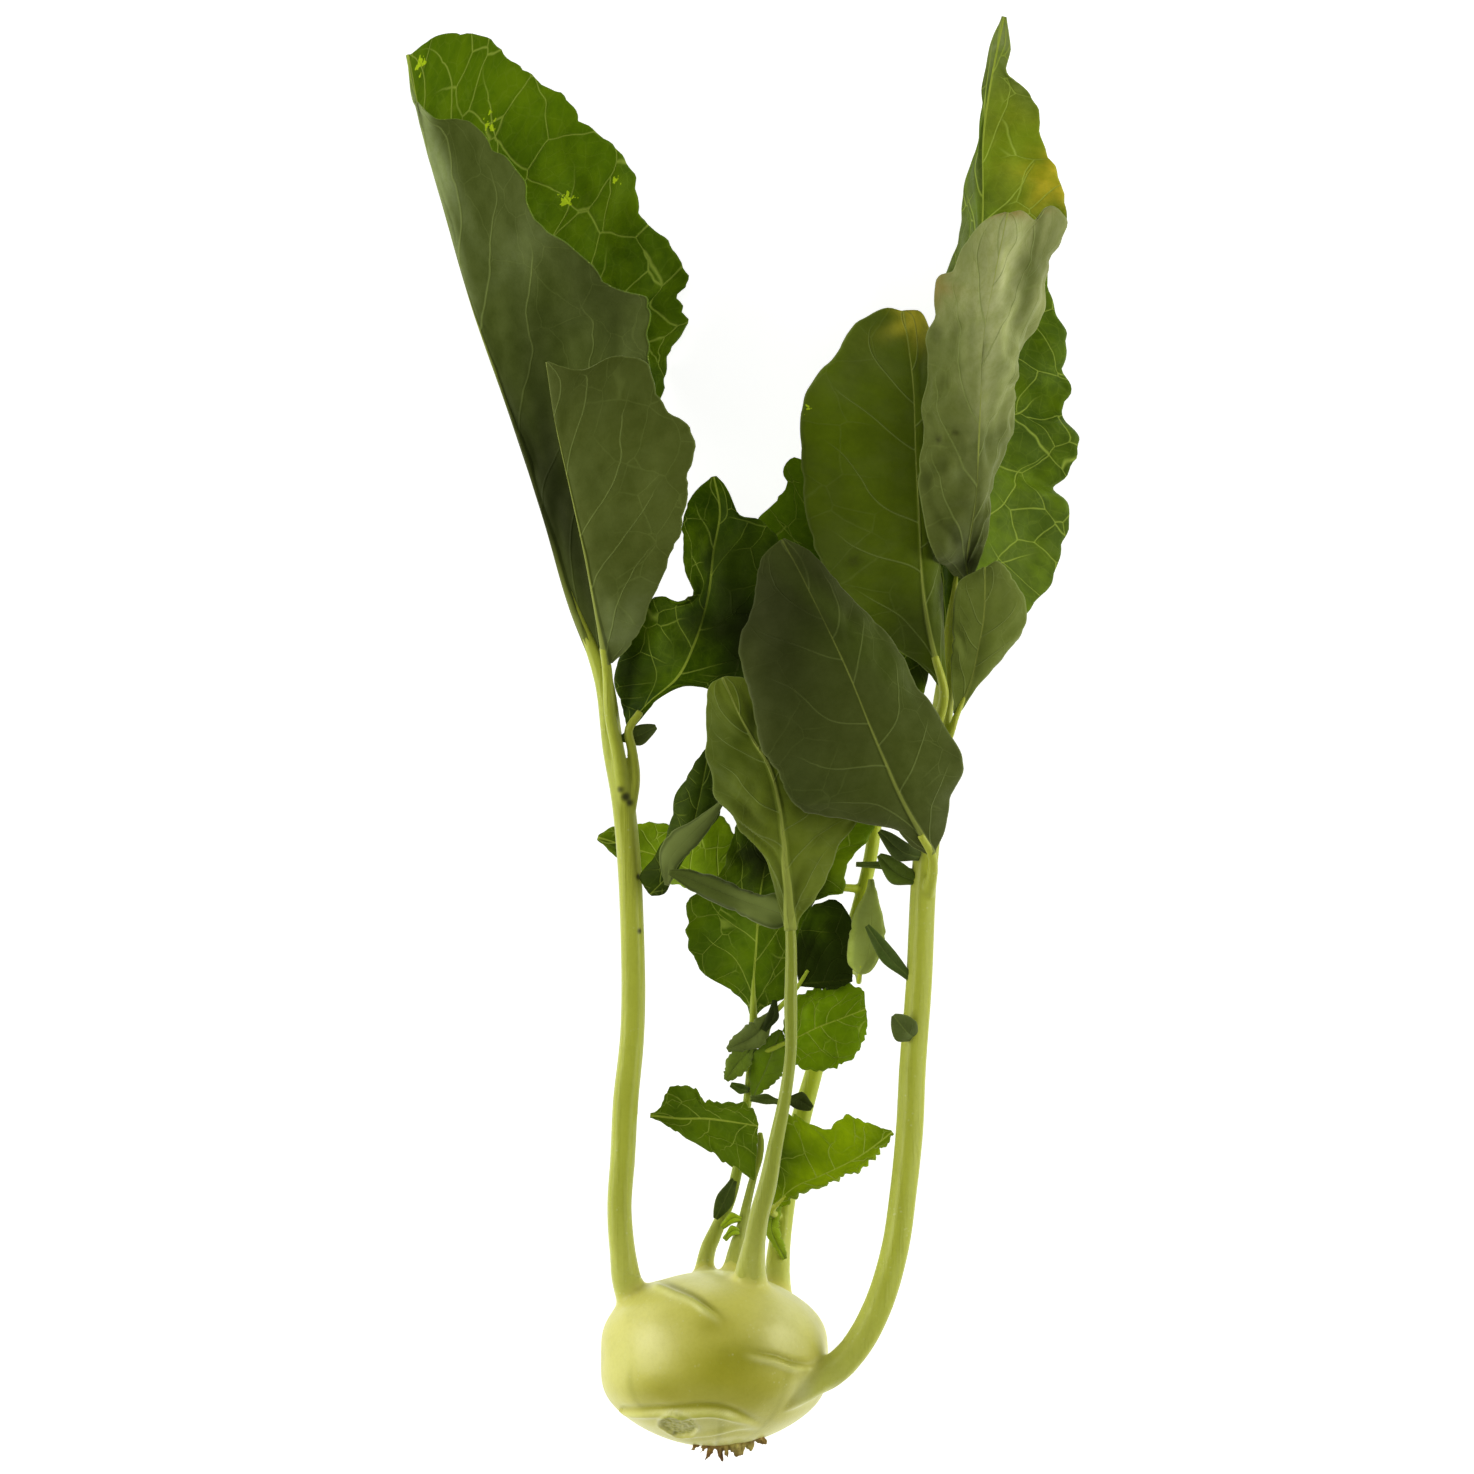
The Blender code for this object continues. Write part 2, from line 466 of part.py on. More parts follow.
def toothed_edge(sheet, side, v):
    """One edge of a sheet, with rounded teeth pushed out from the rib."""
    edge = curve_at(full_edge(sheet, side), v)
    count = sheet.teeth[side]
    if not count:
        return edge
    uneven = v + 0.16 / count * np.sin(2 * math.pi * (2.3 * v + side))
    tooth = np.abs(np.sin(math.pi * count * uneven)) - 0.55
    fade = np.clip(np.sin(math.pi * v), 0, 1) ** 0.5
    outward = unit(edge - curve_at(sheet.rib, v))
    return edge + outward * (sheet.tooth_depth * tooth * fade)[:, None]


def columns(sheet, v, left, right, rib, cols):
    """Places across each row: the rib's own width, then even steps."""
    half = 0.5 * np.linalg.norm(left - rib, axis=1)
    half += 0.5 * np.linalg.norm(right - rib, axis=1)
    radius = np.interp(v, (0, 1), sheet.rib_radius)
    narrow = np.clip(radius / half, 0.02, 0.5)[:, None]
    step = np.arange(-(cols // 2), cols // 2 + 1)[None, :]
    outer = (np.abs(step) - 1) / (cols // 2 - 1)
    reach = np.where(step == 0, 0.0, narrow + outer * (1 - narrow))
    return np.sign(step) * reach


def sheet_points(sheet, rows, cols):
    """Grid of points over a sheet, its rows from base to tip."""
    v = np.linspace(0, 1, rows + 1)
    left = toothed_edge(sheet, 0, v)
    right = toothed_edge(sheet, 1, v)
    rib = curve_at(sheet.rib, v) - FOLD_SOFTNESS / 2 * (left + right)
    rib /= 1 - FOLD_SOFTNESS
    u = columns(sheet, v, left, right, rib, cols)
    soft = np.sqrt(u**2 + FOLD_SOFTNESS**2)
    grid = (rib[:, None]
            + ((soft - u) / 2)[..., None] * (left - rib)[:, None]
            + ((soft + u) / 2)[..., None] * (right - rib)[:, None])
    normal = sheet_normals(grid)
    reach = np.abs(u)
    cup = np.where(u < 0, sheet.cup[0], sheet.cup[1])
    fade = np.sin(math.pi * v)[:, None]
    side = np.where(u < 0, 0.0, 1.7)
    wave = np.sin(2 * math.pi * sheet.waves * v[:, None] + side)
    lift = fade * (cup * 4 * reach * (1 - reach) + sheet.ruffle * reach**2 * wave)
    rib_height = np.interp(v, (0, 1), sheet.rib_radius) - sheet.thickness / 2
    lift[:, cols // 2] += sheet.rib_face * np.maximum(rib_height, 0)
    return grid + normal * lift[..., None]


def sheet_normals(grid):
    """Unit normals of a grid, turned so that they look up."""
    along = np.gradient(grid, axis=0)
    across = np.gradient(grid, axis=1)
    normal = unit(np.cross(across, along))
    middle = normal[:, grid.shape[1] // 2]
    return normal if middle[:, 2].sum() >= 0 else -normal


def sheet_mesh(sheet, name, group):
    """The solid blade: a grid laid on the sheet and given its thickness."""
    points = sheet_points(sheet, sheet.rows, sheet.cols) * MM
    bm = bmesh.new()
    bmesh.ops.create_grid(bm, x_segments=sheet.cols, y_segments=sheet.rows,
                          size=1.0)
    rib_verts = {}
    for vert in bm.verts:
        col = round((vert.co.x + 1) / 2 * sheet.cols)
        row = round((vert.co.y + 1) / 2 * sheet.rows)
        vert.co = points[row, col]
        if 2 * col == sheet.cols:
            rib_verts[vert.index] = row / sheet.rows
    bmesh.ops.triangulate(bm, faces=bm.faces)
    mesh = bpy.data.meshes.new(name)
    bm.to_mesh(mesh)
    bm.free()
    item = make_object(name, mesh, group)
    thickest = max(2 * sheet.rib_radius[0], sheet.thickness)
    depth = item.vertex_groups.new(name="depth")
    thin = sheet.thickness / thickest
    depth.add(range(len(mesh.vertices)), thin, "REPLACE")
    for index, t in rib_verts.items():
        radius = sheet.rib_radius[0] + t * (sheet.rib_radius[1]
                                            - sheet.rib_radius[0])
        depth.add([index], max(2 * radius / thickest, thin), "REPLACE")
    shell = item.modifiers.new("thickness", "SOLIDIFY")
    shell.thickness = thickest * MM
    shell.offset = 0.0
    shell.vertex_group = "depth"
    apply_modifiers(item)
    item.vertex_groups.clear()
    return item


def tube(path, radii, samples, sides, name, group):
    """A tapered round tube with closed ends along a smooth path."""
    t = np.linspace(0, 1, samples + 1)
    points = curve_at(path, t) * MM
    widths = np.interp(t, np.linspace(0, 1, len(radii)), radii) * MM
    curve = bpy.data.curves.new(name, "CURVE")
    curve.dimensions = "3D"
    curve.bevel_depth = 1.0
    curve.bevel_resolution = sides
    curve.use_fill_caps = True
    line = curve.splines.new("POLY")
    line.points.add(samples)
    for place, point, width in zip(line.points, points, widths):
        place.co = (*point, 1.0)
        place.radius = width
    guide = make_object(name + "_path", curve, group)
    graph = bpy.context.evaluated_depsgraph_get()
    graph.update()
    mesh = bpy.data.meshes.new_from_object(guide.evaluated_get(graph))
    bpy.data.objects.remove(guide, do_unlink=True)
    weld(mesh)
    return make_object(name, mesh, group)


def weld(mesh):
    """Merge doubled corners and turn the faces outwards."""
    bm = bmesh.new()
    bm.from_mesh(mesh)
    bmesh.ops.remove_doubles(bm, verts=bm.verts, dist=0.00001)
    bmesh.ops.recalc_face_normals(bm, faces=bm.faces)
    bmesh.ops.triangulate(bm, faces=bm.faces)
    bm.to_mesh(mesh)
    bm.free()


def stalk_radii(path, radii):
    """Radii given at the path's points, respaced evenly along its length."""
    p = np.array(path, float)
    knots = np.concatenate(([0.0], np.cumsum(
        np.linalg.norm(np.diff(p, axis=0), axis=1))))
    return np.interp(np.linspace(0, knots[-1], 4 * len(path)), knots, radii)


def fuse(base, extras):
    """Join the extra bodies to the base as one solid, and remove them."""
    if not extras:
        return
    extra_group = bpy.data.collections.new("joined")
    for item in extras:
        for group in list(item.users_collection):
            group.objects.unlink(item)
        extra_group.objects.link(item)
    whole = base.data
    for solver in ("EXACT", "MANIFOLD"):
        base.data = whole
        union = base.modifiers.new("union", "BOOLEAN")
        union.operation = "UNION"
        union.operand_type = "COLLECTION"
        union.collection = extra_group
        union.solver = solver
        apply_modifiers(base)
        if len(base.data.polygons) >= len(whole.polygons):
            break
    for item in extras:
        bpy.data.objects.remove(item, do_unlink=True)
    bpy.data.collections.remove(extra_group)


def build_blade(name, colour, sheets, group):
    """A blade of one or more sheets, as one body."""
    parts = [sheet_mesh(sheet, f"{name}_{index}", group)
             for index, sheet in enumerate(sheets)]
    blade = parts[0]
    fuse(blade, parts[1:])
    blade.name = name
    finish(blade, make_material("leaf" if colour == LEAF_GREEN else "leaf_pale",
                                colour, 0.55))


def leaflet_sheet(root, middle, tip, half_width):
    """A small oval leaflet as a sheet."""
    spine = np.array((root, middle, tip), float)
    along = unit(spine[2] - spine[0])
    aside = unit(np.cross(along, (0.0, 0.0, 1.0))) * half_width
    low = spine[0] + 0.35 * (spine[1] - spine[0])
    high = spine[1] + 0.65 * (spine[2] - spine[1])
    return Sheet(
        rib=tuple(map(tuple, spine)),
        left=tuple(map(tuple, (low - 0.5 * aside, spine[1] - aside,
                               high - 0.62 * aside))),
        right=tuple(map(tuple, (low + 0.5 * aside, spine[1] + aside,
                                high + 0.62 * aside))),
        rows=4, cols=4, rib_radius=(0.6, 0.5), thickness=LEAFLET_THICKNESS)


def build_stalk(name, stalk, bulb_cutter, group):
    """A stalk, cut back from the bulb, with its branches and leaflets."""
    base = tube(stalk.path, stalk_radii(stalk.path, stalk.radii),
                3 * len(stalk.path) // 2, STALK_SIDES, name, group)
    extras = []
    for index, (path, ends) in enumerate(stalk.branches):
        extras.append(tube(path, ends, 5, BRANCH_SIDES,
                           f"{name}_branch_{index}", group))
    for index, spec in enumerate(stalk.leaflets):
        extras.append(sheet_mesh(leaflet_sheet(*spec), f"{name}_leaf_{index}",
                                 group))
    fuse(base, extras)
    cut = base.modifiers.new("bulb", "BOOLEAN")
    cut.operation = "DIFFERENCE"
    cut.object = bulb_cutter
    cut.solver = "EXACT"
    apply_modifiers(base)
    finish(base, make_material("stalk", STALK_GREEN, 0.45))


def distance_to_line(x, y, line):
    """How far a point lies from a broken line, both flat."""
    best = 1e9
    for (ax, ay), (bx, by) in zip(line, line[1:]):
        dx, dy = bx - ax, by - ay
        s = ((x - ax) * dx + (y - ay) * dy) / (dx * dx + dy * dy)
        s = min(1.0, max(0.0, s))
        best = min(best, math.hypot(x - ax - s * dx, y - ay - s * dy))
    return best


def bulb_relief(point):
    """How far the bulb's skin stands out at a point of its plain shape."""
    height = 0.0
    for centre, spread, rise in STALK_SWELLINGS:
        gap = (Vector(centre) - point).length
        height += rise * math.exp(-((gap / spread) ** 2))
    turn = math.atan2(point.z, point.x)
    height += 0.35 * math.sin(5 * turn + 0.6) * (1 - abs(point.y) / 32)
    if point.z > 0:
        for line in (RAISED_LIP, ROOT_LIP):
            gap = distance_to_line(point.x, point.y, line)
            height += LIP_HEIGHT * math.exp(-((gap / LIP_WIDTH) ** 2))
    return height


def bulb_mesh(name, grow, group):
    """The bulb's solid: a flattened ball with its relief and flat spot."""
    bm = bmesh.new()
    bmesh.ops.create_uvsphere(bm, u_segments=38, v_segments=22, radius=1.0)
    for vert in bm.verts:
        ball = Vector((vert.co.x, vert.co.z, -vert.co.y))
        fuller = 1 + 0.05 * math.sin(math.pi * abs(ball.y)) ** 2
        point = Vector((ball.x * BULB_RADIUS * fuller,
                        ball.y * BULB_HALF_HEIGHT,
                        ball.z * BULB_RADIUS * fuller))
        point += ball * (bulb_relief(point) - 0.6 + grow)
        vert.co = point * MM
    tilt = Matrix.Rotation(math.radians(BULB_TILT), 4, "X")
    bm.transform(Matrix.Translation((0, 0, BULB_CENTRE_HEIGHT * MM)) @ tilt)
    cut = bmesh.ops.bisect_plane(
        bm, geom=bm.verts[:] + bm.edges[:] + bm.faces[:],
        plane_co=(0, 0, (BULB_FLAT_CUT - grow) * MM), plane_no=(0, 0, 1),
        clear_inner=True)
    rim = [e for e in cut["geom_cut"] if isinstance(e, bmesh.types.BMEdge)]
    bmesh.ops.holes_fill(bm, edges=rim)
    bmesh.ops.recalc_face_normals(bm, faces=bm.faces)
    bmesh.ops.triangulate(bm, faces=bm.faces)
    mesh = bpy.data.meshes.new(name)
    bm.to_mesh(mesh)
    bm.free()
    return make_object(name, mesh, group)


def build_root(bulb_cutter, group):
    """The cut root: a few woody chips fused, kept clear of the bulb."""
    chips = []
    for index, (base, tip, radius) in enumerate(ROOT_CHIPS):
        chips.append(tube((base, (Vector(base) + Vector(tip)) / 2, tip),
                          (radius, 0.8 * radius, 0.35 * radius), 5,
                          STALK_SIDES, f"root_{index}", group))
    root = chips[0]
    fuse(root, chips[1:])
    cut = root.modifiers.new("bulb", "BOOLEAN")
    cut.operation = "DIFFERENCE"
    cut.object = bulb_cutter
    cut.solver = "EXACT"
    apply_modifiers(root)
    root.name = "root_stub"
    finish(root, make_material("root", ROOT_BROWN, 0.85))


def finish(item, material):
    """Give an object its one material and smooth faces."""
    item.data.name = item.name
    item.data.materials.clear()
    item.data.materials.append(material)
    for face in item.data.polygons:
        face.material_index = 0
        face.use_smooth = True


def build():
    """Model the whole plant."""
    clear_scene()
    group = make_collection(COLLECTION)
    cutters = make_collection("cutters")
    bulb = bulb_mesh("bulb", 0.0, group)
    finish(bulb, make_material("bulb", BULB_GREEN, 0.35))
    cutter = bulb_mesh("bulb_cutter", JOINT_GAP, cutters)
    cutter.hide_render = True
    cutter.display_type = "WIRE"
    build_root(cutter, group)
    for name, stalk in STALKS:
        build_stalk(name, stalk, cutter, group)
    for name, colour, sheets in BLADES:
        build_blade(name, colour, sheets, group)
    bpy.data.objects.remove(cutter, do_unlink=True)


build()
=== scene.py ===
"""Looks of the kohlrabi: the bulb, its stalks and its folded leaves.

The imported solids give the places.  Each class below builds one kind of piece
at a finer grain than the solids, and dresses it.  Curves are in millimetres
and are taken to metres when a mesh is made.
"""

import logging
import math
from dataclasses import dataclass
from enum import Enum
from typing import Any, Iterable, Optional, Sequence, Union

import bpy
import numpy as np
from bpy.types import Material, Mesh, NodeSocket, Object
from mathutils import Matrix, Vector, noise


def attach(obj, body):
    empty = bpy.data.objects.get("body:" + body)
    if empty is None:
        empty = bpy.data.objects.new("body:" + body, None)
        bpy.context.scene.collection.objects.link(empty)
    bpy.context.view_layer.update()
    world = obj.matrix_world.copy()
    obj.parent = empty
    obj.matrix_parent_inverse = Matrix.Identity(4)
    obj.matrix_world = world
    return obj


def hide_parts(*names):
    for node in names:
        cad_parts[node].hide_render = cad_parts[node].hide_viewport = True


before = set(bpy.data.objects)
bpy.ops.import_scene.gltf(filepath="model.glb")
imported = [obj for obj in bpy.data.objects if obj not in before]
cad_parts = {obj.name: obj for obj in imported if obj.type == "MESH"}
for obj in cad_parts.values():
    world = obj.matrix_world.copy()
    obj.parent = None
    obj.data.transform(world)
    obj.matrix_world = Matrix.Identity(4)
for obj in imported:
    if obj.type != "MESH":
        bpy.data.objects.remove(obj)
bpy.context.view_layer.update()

LOG = logging.getLogger("kohlrabi")
MM = 0.001
FAR = 1e9
SEAM_GAP = 0.00001
SOFT_LEVELS = 10
FLAT_SCALE = 10.0
PHASE_SCALE = 10.0
RIB_SCALE = 100.0
Colour = tuple[float, float, float]
Point = tuple[float, float, float]
Line = tuple[Point, ...]
Pair = tuple[float, float]
Radii = tuple[float, ...]
Value = Union["Wire", float]


def srgb(red: int, green: int, blue: int) -> Colour:
    """A scene-linear colour from 0 to 255 display values.

    Args:
        red: Display red.
        green: Display green.
        blue: Display blue.

    Returns:
        The linear colour.
    """
    def linear(value: float) -> float:
        """One channel, made linear."""
        value /= 255
        return value / 12.92 if value <= 0.04045 else ((value + 0.055) / 1.055) ** 2.4
    return (linear(red), linear(green), linear(blue))


class Face(Enum):
    """The two faces of a leaf."""

    UPPER = "upper"
    UNDER = "under"


class Blend(Enum):
    """How two colours are mixed."""

    MIX = "MIX"
    MULTIPLY = "MULTIPLY"


# ---- shader building ----


class Wire:
    """An output socket whose arithmetic adds maths nodes."""

    def __init__(self, shader: "Shader", socket: NodeSocket) -> None:
        """Wrap a socket of a shader's tree."""
        self.shader = shader
        self.socket = socket

    def maths(self, operation: str, *others: Value) -> "Wire":
        """A maths node fed by this socket and the others."""
        return self.shader.node("ShaderNodeMath", dict(enumerate((self, *others))),
                                operation=operation)

    def __add__(self, other: Value) -> "Wire":
        """Sum."""
        return self.maths("ADD", other)

    __radd__ = __add__

    def __mul__(self, other: Value) -> "Wire":
        """Product."""
        return self.maths("MULTIPLY", other)

    __rmul__ = __mul__

    def __sub__(self, other: Value) -> "Wire":
        """Difference."""
        return self.maths("SUBTRACT", other)

    def __rsub__(self, other: float) -> "Wire":
        """A number less this socket."""
        return (self * -1.0) + other

    def __truediv__(self, other: Value) -> "Wire":
        """Quotient."""
        return self.maths("DIVIDE", other)

    def __abs__(self) -> "Wire":
        """Absolute value."""
        return self.maths("ABSOLUTE")

    def step(self, low: Value, high: Value) -> "Wire":
        """A smooth rise from 0 at low to 1 at high."""
        inputs = {"Value": self, "From Min": low, "From Max": high}
        return self.shader.node("ShaderNodeMapRange", inputs,
                                interpolation_type="SMOOTHSTEP")

    def line(self, width: Value) -> "Wire":
        """A soft line where this distance is under a width."""
        return 1.0 - self.step(0.0, width)


class Shader:
    """A material and the tree that feeds its Principled shader."""

    def __init__(self, name: str, **constants: Any) -> None:
        """Start a material.

        Args:
            name: Name of the material.
            constants: Values of the shader's own sockets, by name.
        """
        self.material = bpy.data.materials.new(name)
        self.material.use_nodes = True
        self.tree = self.material.node_tree
        self.principled = self.tree.nodes["Principled BSDF"]
        for key, value in constants.items():
            self.principled.inputs[key.replace("_", " ")].default_value = value

    def node(self, kind: str, inputs: Optional[dict] = None,
             output: Union[int, str] = 0, **settings: Any) -> Wire:
        """Add any node.

        Args:
            kind: The node's type.
            inputs: Values or wires by input name, identifier or index.
            output: Name or index of the output wanted.
            settings: The node's own properties.

        Returns:
            The chosen output.
        """
        made = self.tree.nodes.new(kind)
        for key, value in settings.items():
            setattr(made, key, value)
        for key, value in (inputs or {}).items():
            self.feed(self.find(made.inputs, key), value)
        return Wire(self, self.find(made.outputs, output))

    @staticmethod
    def find(sockets: Any, key: Union[int, str]) -> NodeSocket:
        """A socket by index, identifier or name.

        Args:
            sockets: The inputs or outputs of a node.
            key: What to look for.

        Returns:
            The socket.
        """
        if isinstance(key, int):
            return sockets[key]
        for socket in sockets:
            if socket.identifier == key:
                return socket
        return sockets[key]

    def feed(self, socket: NodeSocket, value: Any) -> None:
        """Link a wire to a socket, or set its value.

        Args:
            socket: The socket.
            value: A wire, a number or a colour.
        """
        if isinstance(value, Wire):
            self.tree.links.new(value.socket, socket)
        elif isinstance(value, tuple) and len(value) == 3 and socket.type == "RGBA":
            socket.default_value = (*value, 1.0)
        else:
            socket.default_value = value

    def mix(self, amount: Value, first: Union[Wire, Colour],
            second: Union[Wire, Colour], blend: Blend = Blend.MIX) -> Wire:
        """Mix two colours.

        Args:
            amount: How much of the second colour.
            first: The first colour.
            second: The second colour.
            blend: The way they are mixed.

        Returns:
            The mixed colour.
        """
        inputs = {"Factor_Float": amount, "A_Color": first, "B_Color": second}
        return self.node("ShaderNodeMix", inputs, "Result_Color",
                         data_type="RGBA", blend_type=blend.value)

    def noise(self, place: Wire, scale: float, detail: float = 3.0,
              roughness: float = 0.55) -> Wire:
        """Smooth noise from 0 to 1."""
        inputs = {"Vector": place, "Scale": scale, "Detail": detail,
                  "Roughness": roughness}
        return self.node("ShaderNodeTexNoise", inputs)

    def cells(self, place: Wire, scale: Value, feature: str) -> Wire:
        """Distance in a cell pattern."""
        inputs = {"Vector": place, "Scale": scale}
        return self.node("ShaderNodeTexVoronoi", inputs, "Distance", feature=feature)

    def warped(self, place: Wire, scale: float, amount: float) -> Wire:
        """A place pushed about by noise.

        Args:
            place: The place.
            scale: Scale of the noise.
            amount: How far it pushes.

        Returns:
            The new place.
        """
        inputs = {"Vector": place, "Scale": scale, "Detail": 2.0}
        push = self.node("ShaderNodeTexNoise", inputs, "Color")
        centred = self.node("ShaderNodeVectorMath",
                            {0: push, 1: (0.5, 0.5, 0.5)}, operation="SUBTRACT")
        scaled = self.node("ShaderNodeVectorMath",
                           {0: centred, "Scale": amount}, operation="SCALE")
        return self.node("ShaderNodeVectorMath", {0: place, 1: scaled}, operation="ADD")

    def uv(self, name: str) -> Wire:
        """A UV map of the piece."""
        return self.node("ShaderNodeUVMap", uv_map=name)

    def attribute(self, name: str, output: str = "Fac") -> Wire:
        """An attribute of the piece."""
        return self.node("ShaderNodeAttribute", output=output, attribute_name=name)

    def finish(self, colour: Wire, roughness: Wire, height: Wire,
               depth: float, strength: float = 1.0) -> Material:
        """Wire colour, roughness and relief to the shader.

        Args:
            colour: Surface colour.
            roughness: Surface roughness.
            height: Relief from 0 to 1.
            depth: Depth of the relief in metres.
            strength: Strength of the relief.

        Returns:
            The material.
        """
        inputs = {"Height": height, "Distance": depth, "Strength": strength}
        bump = self.node("ShaderNodeBump", inputs)
        self.feed(self.principled.inputs["Base Color"], colour)
        self.feed(self.principled.inputs["Roughness"], roughness)
        self.feed(self.principled.inputs["Normal"], bump)
        return self.material


# ---- finishes ----

FLECK = srgb(186, 214, 30)
NICK_BROWN = srgb(46, 48, 14)


@dataclass(frozen=True)
class LeafFinish:
    """One face of the leaves, its veins drawn from the blade's own maps, with painted shade beside
    them.
    """

    name: str
    tone: str
    vein: Colour
    rib: Colour
    # Colour multiplied in for painted shade beside the veins and for random mottle.
    shade_and_mottle: Colour
    vein_amount: float
    net_amount: float
    margin_amount: float
    bloom: Colour
    bloom_amount: float
    # Strength of the painted shade beside the veins.
    hollow: float
    web_amount: float
    rib_amount: float
    relief: float
    roughness: float
    sheen: float

    def build(self) -> Material:
        """Make the material.

        Returns:
            The material.
        """
        shader = Shader(self.name, Sheen_Weight=self.sheen,
                        Sheen_Roughness=0.5, Specular_IOR_Level=0.10,
                        Specular_Tint=(1.0, 1.0, 0.35, 1.0),
                        Sheen_Tint=(1.0, 1.0, 0.6, 1.0))
        flat = shader.uv("flat")
        bent = shader.warped(flat, 0.9, 0.28)
        veins, web = self.veins(shader, bent)
        mottle = shader.noise(flat, 2.4, 4.0)
        patch = shader.noise(flat, 0.7, 5.0, 0.62).step(0.42, 0.66)
        dapple = shader.noise(flat, 9.0, 3.0, 0.6).step(0.40, 0.65)
        tone = shader.attribute(self.tone, "Color")
        light = shader.node("ShaderNodeRGBToBW", {0: tone}).step(0.015, 0.10)
        # Painted shade beside the veins, then random mottle and dapple.
        shade = shader.mix(web.line(2.4) * self.hollow, tone, self.shade_and_mottle,
                           Blend.MULTIPLY)
        shade = shader.mix(mottle.step(0.35, 0.7) * 0.45, shade, self.shade_and_mottle,
                           Blend.MULTIPLY)
        shade = shader.mix(dapple * 0.22, shade, self.shade_and_mottle, Blend.MULTIPLY)
        shade = shader.mix(patch * light * self.bloom_amount, shade, self.bloom)
        shade = shader.mix(veins * light * self.vein_amount, shade, self.vein)
        away = shader.node("ShaderNodeSeparateXYZ", {0: shader.uv("lace")}, "Y")
        rib = (away * RIB_SCALE - shader.attribute("rib")).line(0.35)
        shade = shader.mix(rib * light * self.rib_amount, shade, self.rib)
        margin = shader.attribute("margin").line(0.6) * self.margin_amount
        shade = shader.mix(margin * light, shade, self.vein)
        speck = shader.noise(flat, 6.0, 2.0) + shader.attribute("fleck") * 0.5
        speck = speck.step(0.86, 0.90)
        shade = shader.mix(speck, shade, FLECK)
        grain = shader.noise(flat, 30.0, 4.0, 0.7)
        rough = mottle * 0.16 + (self.roughness - 0.08)
        height = veins * self.relief + grain * 0.14 + mottle * 0.2
        return shader.finish(shade, rough, height, 0.0006, 0.75)

    def veins(self, shader: Shader, bent: Wire) -> tuple[Wire, Wire]:
        """Side veins, their forks and the net between them.

        Args:
            shader: The shader being made.
            bent: The blade's flat map, pushed about.

        Returns:
            How much of a vein each point is, from 0 to 1, and how far it lies
            from the web in millimetres.
        """
        phase = shader.node("ShaderNodeSeparateXYZ", {0: shader.uv("lace")},
                            "X") * PHASE_SCALE
        reach = shader.attribute("reach")
        pitch = shader.attribute("pitch")
        spacing = shader.attribute("spacing")
        width = 0.20 + pitch * 0.013 - reach * 0.17
        side = abs(phase.maths("FRACT") - 0.5) * spacing
        side = side.line(width * 1.2) * reach.step(0.85, 0.60)
        side = side * (spacing / pitch).step(2.0, 1.4)
        mesh = pitch * 0.05 + 0.38
        web = shader.cells(bent, mesh.maths("POWER", -1.0),
                           "DISTANCE_TO_EDGE") * mesh * FLAT_SCALE
        fine = shader.cells(bent, 2.3, "DISTANCE_TO_EDGE").line(0.05)
        net = web.line(width * 0.9) * reach.step(0.25, 0.55) * self.web_amount
        net = net.maths("MAXIMUM", side)
        return net.maths("MAXIMUM", fine * 0.22 * self.net_amount), web


@dataclass(frozen=True)
class SkinFinish:
    """The waxy skin of the bulb and the stalks, streaked where they are long."""

    name: str
    roughness: float
    hollow: Colour = (0.74, 0.74, 0.46)
    wax: Colour = srgb(226, 230, 176)

    def build(self) -> Material:
        """Make the material.

        Returns:
            The material.
        """
        shader = Shader(self.name, Sheen_Weight=0.35, Sheen_Roughness=0.35,
                        Sheen_Tint=(0.95, 1.0, 0.62, 1.0), Coat_Weight=0.08,
                        Coat_Roughness=0.30, Specular_IOR_Level=0.30,
                        Specular_Tint=(1.0, 1.0, 0.6, 1.0),
                        Subsurface_Weight=0.18, Subsurface_Scale=0.003,
                        Subsurface_Radius=(1.0, 0.9, 0.3))
        place = shader.node("ShaderNodeTexCoord", output="Object")
        cloud = shader.noise(place, 42.0, 4.0, 0.6)
        long = shader.node("ShaderNodeMapping",
                           {0: place, "Scale": (520.0, 16.0, 520.0)})
        grain = shader.attribute("grain")
        lines = shader.noise(long, 1.0, 4.0, 0.7).step(0.45, 0.75) * grain
        fine = shader.noise(place, 700.0, 4.0, 0.65)
        dots = shader.cells(place, 560.0, "F1").line(0.34)
        thick = shader.noise(place, 150.0, 3.0).step(0.5, 0.7)
        shade = shader.attribute("tone", "Color")
        shade = shader.mix(cloud.step(0.42, 0.68) * 0.30, shade, self.hollow,
                           Blend.MULTIPLY)
        shade = shader.mix(fine.step(0.4, 0.7) * 0.16, shade, self.hollow,
                           Blend.MULTIPLY)
        shade = shader.mix(lines * 0.45, shade, self.hollow, Blend.MULTIPLY)
        shade = shader.mix(dots * thick * 0.30, shade, self.wax)
        rough = cloud * 0.16 + (self.roughness - 0.08)
        height = fine * 0.3 + lines * 0.5 + dots * 0.2
        return shader.finish(shade, rough, height, 0.0004, 0.5)


